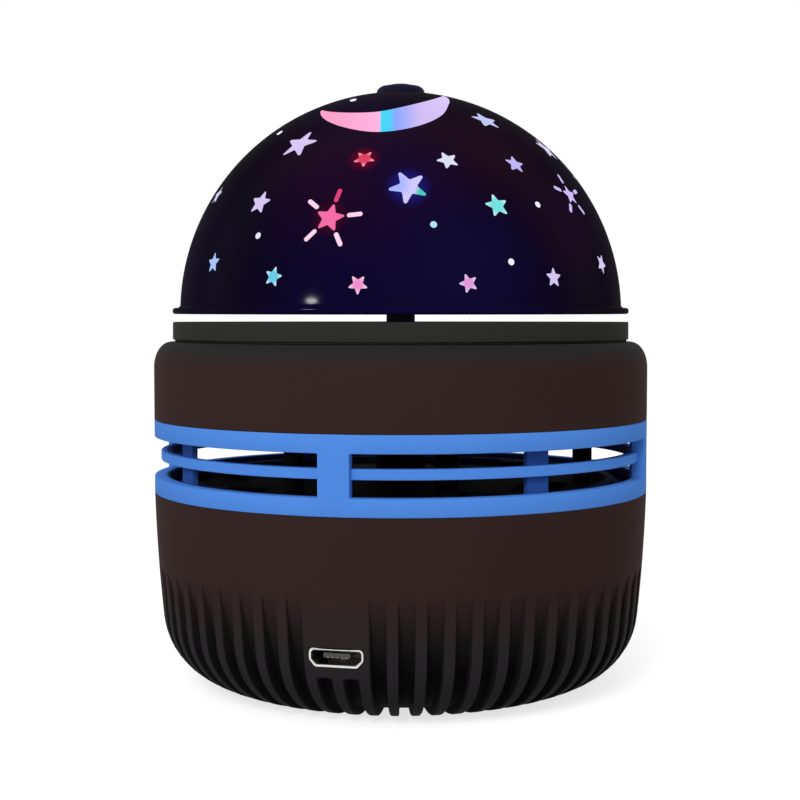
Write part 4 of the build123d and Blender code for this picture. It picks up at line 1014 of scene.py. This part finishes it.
def sector_mesh(name, widths):
    """A sixtieth of the bowl. Its channel has these half widths, row by row, up to its tip."""
    bm = bmesh.new()

    def vertex(radius, z, azimuth):
        return bm.verts.new(at_azimuth(radius, azimuth, z))

    def strip(low, high):
        for a, b, c, d in zip(low, low[1:], high[1:], high):
            bm.faces.new((vertex(*a), vertex(*b), vertex(*c), vertex(*d)))

    side = PITCH / 2
    sections = [channel_section(*row) for row in zip(outer_rows, floor_rows, widths)]
    foot = sections[0]
    for a, b in ((0, 1), (1, -2), (-2, -1)):
        bm.faces.new((vertex(0, 0, 0), vertex(*foot[a]), vertex(*foot[b])))
    bm.faces.new([vertex(*point) for point in foot[1:-1]])
    for low, high in zip(sections, sections[1:]):
        strip(low, high)
    columns = (-side, -CHANNEL_HALF, 0, CHANNEL_HALF, side) if widths[-1] else (-side, 0, side)
    ellipse = [(INNER_FLAT_R + INNER_WIDTH * sin(a), inner_floor_z(sin(a))) for a in reversed(round_tip)]
    section = outer_rows[len(widths) - 1:] + INSIDE + ellipse
    for low, high in zip(section, section[1:]):
        strip([(*low, c) for c in columns], [(*high, c) for c in columns])
    for a, b in zip(columns, columns[1:]):
        flat_edge = [vertex(INNER_FLAT_R, FLOOR_TOP, c) for c in (a, b)]
        bm.faces.new((vertex(0, FLOOR_TOP, 0), *flat_edge))
    bmesh.ops.dissolve_degenerate(bm, edges=bm.edges, dist=1e-7)
    bmesh.ops.remove_doubles(bm, verts=bm.verts, dist=2e-6)
    for face in list(bm.faces):
        if face.calc_area() < 1e-13:
            bm.faces.remove(face)
    mesh = bpy.data.meshes.new(name)
    bm.to_mesh(mesh)
    bm.free()
    return mesh


print("rows in a long channel:", len(LONG_WIDTHS), "in a short one:", len(SHORT_WIDTHS))

# %% [markdown]
# ## Sixty sectors with Geometry Nodes
# The tree makes one point for each sector, all on the axis, and puts the long or the short sector
# on it, turned by its number times the pitch. Realize Instances makes them real, Merge by Distance
# closes the seams, and Set Material gives the plastic.

# %% Sector tree
def geometry_tree(name, sockets):
    tree = bpy.data.node_groups.new(name, "GeometryNodeTree")
    tree.interface.new_socket("Geometry", in_out="INPUT", socket_type="NodeSocketGeometry")
    for label, kind in sockets:
        tree.interface.new_socket(label, in_out="INPUT", socket_type=kind)
    tree.interface.new_socket("Geometry", in_out="OUTPUT", socket_type="NodeSocketGeometry")
    return tree


def grow(piece, tree, **values):
    """Runs a geometry tree on a piece and keeps the result as its plain mesh."""
    modifier = piece.modifiers.new(tree.name, "NODES")
    modifier.node_group = tree
    for item in tree.interface.items_tree:
        label = item.name.replace(" ", "_")
        if item.in_out == "INPUT" and label in values:
            modifier[item.identifier] = values[label]
    settled(piece)


tree = geometry_tree("sectors_round_axis", [
    ("Count", "NodeSocketInt"), ("Special", "NodeSocketObject"), ("Merge", "NodeSocketFloat"),
    ("Material", "NodeSocketMaterial")])
given = add_node(tree, "NodeGroupInput")
index = add_node(tree, "GeometryNodeInputIndex").outputs[0]
points = add_node(tree, "GeometryNodePoints", {"Count": given.outputs["Count"]})
step = add_node(tree, "ShaderNodeMath", {0: 2 * pi, 1: given.outputs["Count"]}, operation="DIVIDE")
turn = add_node(tree, "ShaderNodeMath", {0: index, 1: step.outputs[0]}, operation="MULTIPLY")
turns = add_node(tree, "ShaderNodeCombineXYZ", {"Z": turn.outputs[0]})
before_last = add_node(tree, "ShaderNodeMath", {0: given.outputs["Count"], 1: 1.5}, operation="SUBTRACT")
at_first = add_node(tree, "FunctionNodeCompare", {0: index, 1: 0.5}, operation="LESS_THAN").outputs[0]
at_last = add_node(tree, "FunctionNodeCompare", {
    0: index, 1: before_last.outputs[0]}, operation="GREATER_THAN").outputs[0]
special = add_node(tree, "FunctionNodeBooleanMath", {0: at_first, 1: at_last}, operation="OR")
plain = add_node(tree, "FunctionNodeBooleanMath", {0: special.outputs[0]}, operation="NOT")
other = add_node(tree, "GeometryNodeObjectInfo", {"Object": given.outputs["Special"]})
both = add_node(tree, "GeometryNodeJoinGeometry")
for chosen, source in ((plain, given), (special, other)):
    copies = add_node(tree, "GeometryNodeInstanceOnPoints", {
        "Points": points.outputs[0], "Selection": chosen.outputs[0],
        "Instance": source.outputs["Geometry"], "Rotation": turns.outputs[0]})
    tree.links.new(copies.outputs[0], both.inputs[0])
real = add_node(tree, "GeometryNodeRealizeInstances", {"Geometry": both.outputs[0]})
merged = add_node(tree, "GeometryNodeMergeByDistance", {
    "Geometry": real.outputs[0], "Distance": given.outputs["Merge"]})
finished = add_node(tree, "GeometryNodeSetMaterial", {
    "Geometry": merged.outputs[0], "Material": given.outputs["Material"]})
add_node(tree, "NodeGroupOutput", {0: finished.outputs[0]})
print("sector tree nodes:", len(tree.nodes))

# %% [markdown]
# ## Ribbed plastic
# The bowl is moulded from the housing's plastic. Below the ribs' top its colour turns grey, and the
# channels between the ribs get painted shade, almost black. The material finds a channel by the
# angle round the axis, and fades the painted shade out upwards.

# %% Ribbed plastic
CHANNEL_SHADE_FADE = (17.5, 7.5)            # millimetres up, where the channels' painted shade begins and where it is full
RIB_FADE = (19.0, 10.0)               # and where the ribs turn grey


def ribbed(tree, place, base):
    """Covers the base colour with grey below the ribs' top, and with near black painted shade in the
    channels.
    """
    def maths(kind, first, second=0.0):
        return add_node(tree, "ShaderNodeMath", {0: first, 1: second}, operation=kind).outputs[0]

    parts = add_node(tree, "ShaderNodeSeparateXYZ", {0: place}).outputs
    turns = maths("MULTIPLY", maths("ARCTAN2", parts["X"], parts["Y"]), RIBS / (2 * pi))
    aside = maths("ABSOLUTE", maths("SUBTRACT", maths("FRACT", turns), 0.5))
    from_back = maths("ABSOLUTE", turns)
    half = CHANNEL_HALF / PITCH
    fades = []
    for value, none, full in (
            (aside, half + 0.02, half - 0.01),
            (parts["Z"], CHANNEL_SHADE_FADE[0] * MM, CHANNEL_SHADE_FADE[1] * MM),
            (from_back, RIBS / 2 - 1.05, RIBS / 2 - 0.95),
            (parts["Z"], (SHORT_TIP - 0.2) * MM, SHORT_TIP * MM)):
        fades.append(add_node(tree, "ShaderNodeMapRange", {
            "Value": value, "From Min": none, "From Max": full}).outputs[0])
    in_channel, low_down, near_inlet, above_tip = fades
    smooth_panel = maths("MULTIPLY", near_inlet, above_tip)
    # painted shade in the channels: near black, fading out upwards, none on the smooth panel
    channel = maths("MULTIPLY", in_channel, low_down)
    channel = maths("MULTIPLY", channel, maths("SUBTRACT", 1.0, smooth_panel))
    ribs = covered(tree, base, "282628", parts["Z"], *RIB_FADE)
    return add_node(tree, "ShaderNodeMix", {
        0: channel, 6: ribs, 7: linear("050505")}, data_type="RGBA").outputs[2]


ribbed_abs = moulded("ribbed_black_abs", "362523", "312220", 0.8, ribbed)
print("ribbed plastic:", ribbed_abs.name)

# %% Bowl
SEAM = 3e-6               # metres within which the sectors' edges merge
half_pitch = Euler((0, 0, radians(PITCH / 2))).to_matrix().to_4x4()
long_mesh = sector_mesh("long_sector", LONG_WIDTHS)
short_mesh = sector_mesh("short_sector", SHORT_WIDTHS)
for sector in (long_mesh, short_mesh):
    sector.transform(half_pitch)
short_sector = new_piece("short_sector", short_mesh, None, None)
bowl = new_piece("ribbed_bowl", long_mesh, None, None)
grow(bowl, tree, Count=RIBS, Special=short_sector, Merge=SEAM, Material=ribbed_abs)
bpy.data.objects.remove(short_sector)
bm = bmesh.new()
bm.from_mesh(bowl.data)
open_edges = sum(not edge.is_manifold for edge in bm.edges)
bmesh.ops.recalc_face_normals(bm, faces=bm.faces)
bm.to_mesh(bowl.data)
bm.free()
bowl.data.shade_smooth()
bowl.data.set_sharp_from_angle(angle=SHARP)
print("bowl faces:", len(bowl.data.polygons), "open edges:", open_edges)

# %% [markdown]
# ## Power inlet
# The inlet is a small steel shell behind an opening in the bowl's smooth panel. The opening is cut
# with a Boolean, as it is a plain prism, and the shell is an outline swept along Y. Six bosses
# rise from the floor inside, three for the housing's screws and three for the circuit board's.

# %% Inlet opening
USB_Z = 10.45
USB_FACE, USB_BACK = -36.35, -30.8
SHELL_WIDE, SHELL_NARROW, SHELL_HALF_HEIGHT, SHELL_KNEE = 3.75, 2.9, 1.25, -0.3
OPENING_GAP = 0.12


def inlet_outline(grow_by, fillet):
    """The inlet's trapezoid with its wide side up, as x and z."""
    wide, narrow = SHELL_WIDE + grow_by, SHELL_NARROW + grow_by * 0.6
    high, knee = SHELL_HALF_HEIGHT + grow_by, SHELL_KNEE - grow_by * 0.3
    corners = ((-wide, high), (-wide, knee), (-narrow, -high), (narrow, -high), (wide, knee), (wide, high))
    return rounded([(x, z, fillet) for x, z in corners], 4, False)


def inlet_ring(bm, outline, y):
    """Vertices along an outline of x and z about the inlet's middle."""
    return [bm.verts.new(Vector((x, y, USB_Z + z)) * MM) for x, z in outline]


def prism(name, outline, front, back):
    """The outline swept from one y to another, closed, as a tool that cuts."""
    bm = bmesh.new()
    near, far = inlet_ring(bm, outline, front), inlet_ring(bm, outline, back)
    bm.faces.new(near)
    bm.faces.new(far)
    band(bm, near, far)
    return new_piece(name, to_mesh(bm, name), None, inner_abs)


cutter = prism("inlet_cutter", inlet_outline(OPENING_GAP, 0.55), -40.0, -33.0)
pocket = prism("inlet_pocket", box_section(-4.2, 4.2, -2.65, 1.55), -34.6, -28.0)
for tool in (pocket, cutter):
    with_modifier(bowl, "BOOLEAN", operation="DIFFERENCE", solver="EXACT", object=tool)
    bpy.data.objects.remove(tool)
print("bowl with opening, faces:", len(bowl.data.polygons))

# %% Bosses in the bowl
SCREW_BOSSES = ((13.5, -23.383), (13.5, 23.383), (-27.0, 0.0))
BOARD_POSTS = ((-7.5, -26.5), (7.5, -26.5), (0.0, -14.5))
BOSS_FOOT = 1.0
BOSS_SINK = 0.35          # how deep the feet stand in the floor

bm = bmesh.new()
bm.from_mesh(bowl.data)
wall_vertices = len(bm.verts)
for spots, radius, top, steps in ((SCREW_BOSSES, 2.6, 29.0, 32), (BOARD_POSTS, 1.7, 8.0, 24)):
    for spot in spots:
        turn_profile(bm, box_section(0, radius, BOSS_FOOT, top), steps, spot)
bm.verts.ensure_lookup_table()
for foot in bm.verts[wall_vertices:]:
    if foot.co.z < FLOOR_TOP * MM:
        beyond = max(0.0, hypot(foot.co.x, foot.co.y) / MM - INNER_FLAT_R) / INNER_WIDTH
        foot.co.z = (inner_floor_z(beyond) - BOSS_SINK) * MM
bpy.data.objects.remove(bowl)
bowl_mesh = to_mesh(bm, "ribbed_bowl")
new_piece("ribbed_bowl", bowl_mesh, "base", ribbed_abs, "lower_housing")
print("bowl with bosses, faces:", len(bowl_mesh.polygons))

# %% Metals
SCRATCH = 0.4             # millimetres between handling marks


def metal(name, colour, roughness):
    """Plated or rolled metal: a clear reflection, made a little uneven by fine handling marks."""
    material, tree, shader = new_material(name)
    uneven_gloss(tree, shader, SCRATCH, 4.0, roughness - 0.06, roughness + 0.1)
    shader.inputs["Base Color"].default_value = linear(colour)
    shader.inputs["Metallic"].default_value = 1.0
    return material


nickel = metal("nickel_plated_steel", "d8d6d2", 0.22)
gold = metal("gold_plated_contact", "e2b662", 0.25)
zinc = metal("zinc_plated_steel", "c3c5c8", 0.3)
brass = metal("machined_brass", "d8b15e", 0.3)
bronze = metal("sintered_bronze", "a4743e", 0.45)
can_steel = metal("drawn_motor_steel", "b6b8bb", 0.35)
print("metals:", nickel.name, gold.name, zinc.name, brass.name, bronze.name, can_steel.name)

# %% Inlet shell
SHELL_WALL = 0.3
SHELL_EDGE = 0.12         # chamfer on both sides of the rim
outside, rim_out = inlet_outline(0.0, 0.6), inlet_outline(-SHELL_EDGE, 0.5)
rim_in, inside = inlet_outline(SHELL_EDGE - SHELL_WALL, 0.45), inlet_outline(-SHELL_WALL, 0.4)
bm = bmesh.new()
rings = [inlet_ring(bm, outline, y) for outline, y in (
    (outside, USB_BACK), (outside, USB_FACE + SHELL_EDGE), (rim_out, USB_FACE),
    (rim_in, USB_FACE), (inside, USB_FACE + SHELL_EDGE), (inside, USB_BACK))]
for ring, after in zip(rings, rings[1:] + rings[:1]):
    band(bm, ring, after)
new_piece("inlet_shell", to_mesh(bm, "inlet_shell"), "base", nickel, "usb_shell")
print("inlet shell rings:", len(rings))

# %% [markdown]
# ## Finishes of the inner parts
# The rest of the lamp's parts keep their CAD shape, as it is right, and get the finish of what
# they are made of: natural acetal gears, a white and a green circuit board, clear resin lamps.

# %% Inner materials
CLOUD = 0.5               # millimetres between the soft uneven spots of the gloss


def plain_plastic(name, colour, roughness, transmission=0.0):
    """A smooth moulding or coating whose gloss is a little cloudy."""
    material, tree, shader = new_material(name)
    uneven_gloss(tree, shader, CLOUD, 2.0, roughness - 0.04, roughness + 0.06)
    shader.inputs["Base Color"].default_value = linear(colour)
    shader.inputs["Transmission Weight"].default_value = transmission
    return material


acetal = plain_plastic("natural_acetal", "eceadf", 0.42)
white_abs = plain_plastic("white_moulded_abs", "e9e8e4", 0.5)
cover_acrylic = plain_plastic("clear_cover_acrylic", "e8eef2", 0.25, transmission=0.6)
white_board = plain_plastic("white_solder_mask", "e6e8e6", 0.35)
green_board = plain_plastic("green_solder_mask", "1d5a3a", 0.35)
chip_resin = plain_plastic("black_chip_resin", "17181a", 0.5)
lead_pvc = plain_plastic("black_lead_pvc", "15151a", 0.5)
black_screw = moulded("blackened_screw_steel", "060608", "08080b", 0.8)
LED_COLOURS = {"red_led": "ff4a5c", "green_led": "5ff0a0", "blue_led": "5a8cff", "white_led": "f4f2ff"}


def dress(material, *nodes):
    """Gives CAD nodes their finish, by their objects' material slots."""
    for name in nodes:
        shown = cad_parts[name]
        if not shown.material_slots:
            shown.data.materials.append(material)
        for slot in shown.material_slots:
            slot.material = material


dress(acetal, "output_gear", "second_gear", "first_gear")
dress(brass, "motor_pinion")
dress(zinc, "motor_shaft", "first_gear_pin", "second_gear_pin", "gearbox_plate", "gearbox_screws",
      "led_board_screws", "board_screws")
dress(black_screw, "deck_screws", "housing_screws")
dress(can_steel, "motor_can")
dress(bronze, "upper_bush", "lower_bush")
dress(white_abs, "dome_hub", "reflector_dish", "motor_end_cap", "lamp_socket", "board_socket",
      "thrust_washer")
dress(inner_abs, "upper_deck", "lead_sleeve")
dress(deck_abs, "lower_deck")
dress(chip_resin, "control_chip", "smoothing_capacitor", "usb_tongue")
dress(gold, "usb_contacts")
dress(lead_pvc, "lamp_lead", "motor_lead")
dress(white_board, "led_board")
dress(green_board, "main_board")
dress(cover_acrylic, "light_cover")
for led_node, colour in LED_COLOURS.items():
    dress(plain_plastic(led_node + "_epoxy", colour, 0.15, transmission=0.5), led_node)
print("dressed CAD nodes:", sum(not o.hide_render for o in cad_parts.values()))

# %% [markdown]
# ## Boxes
# Both the CAD model's box and the visual model's box are printed. The visual model must
# stay inside the CAD model's box.

# %% Sizes and finish
low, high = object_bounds()
for label, box in (("CAD", (*cad_low, *cad_high)), ("visual", (*low, *high))):
    print(label, "box", [round(value, 5) for value in box])
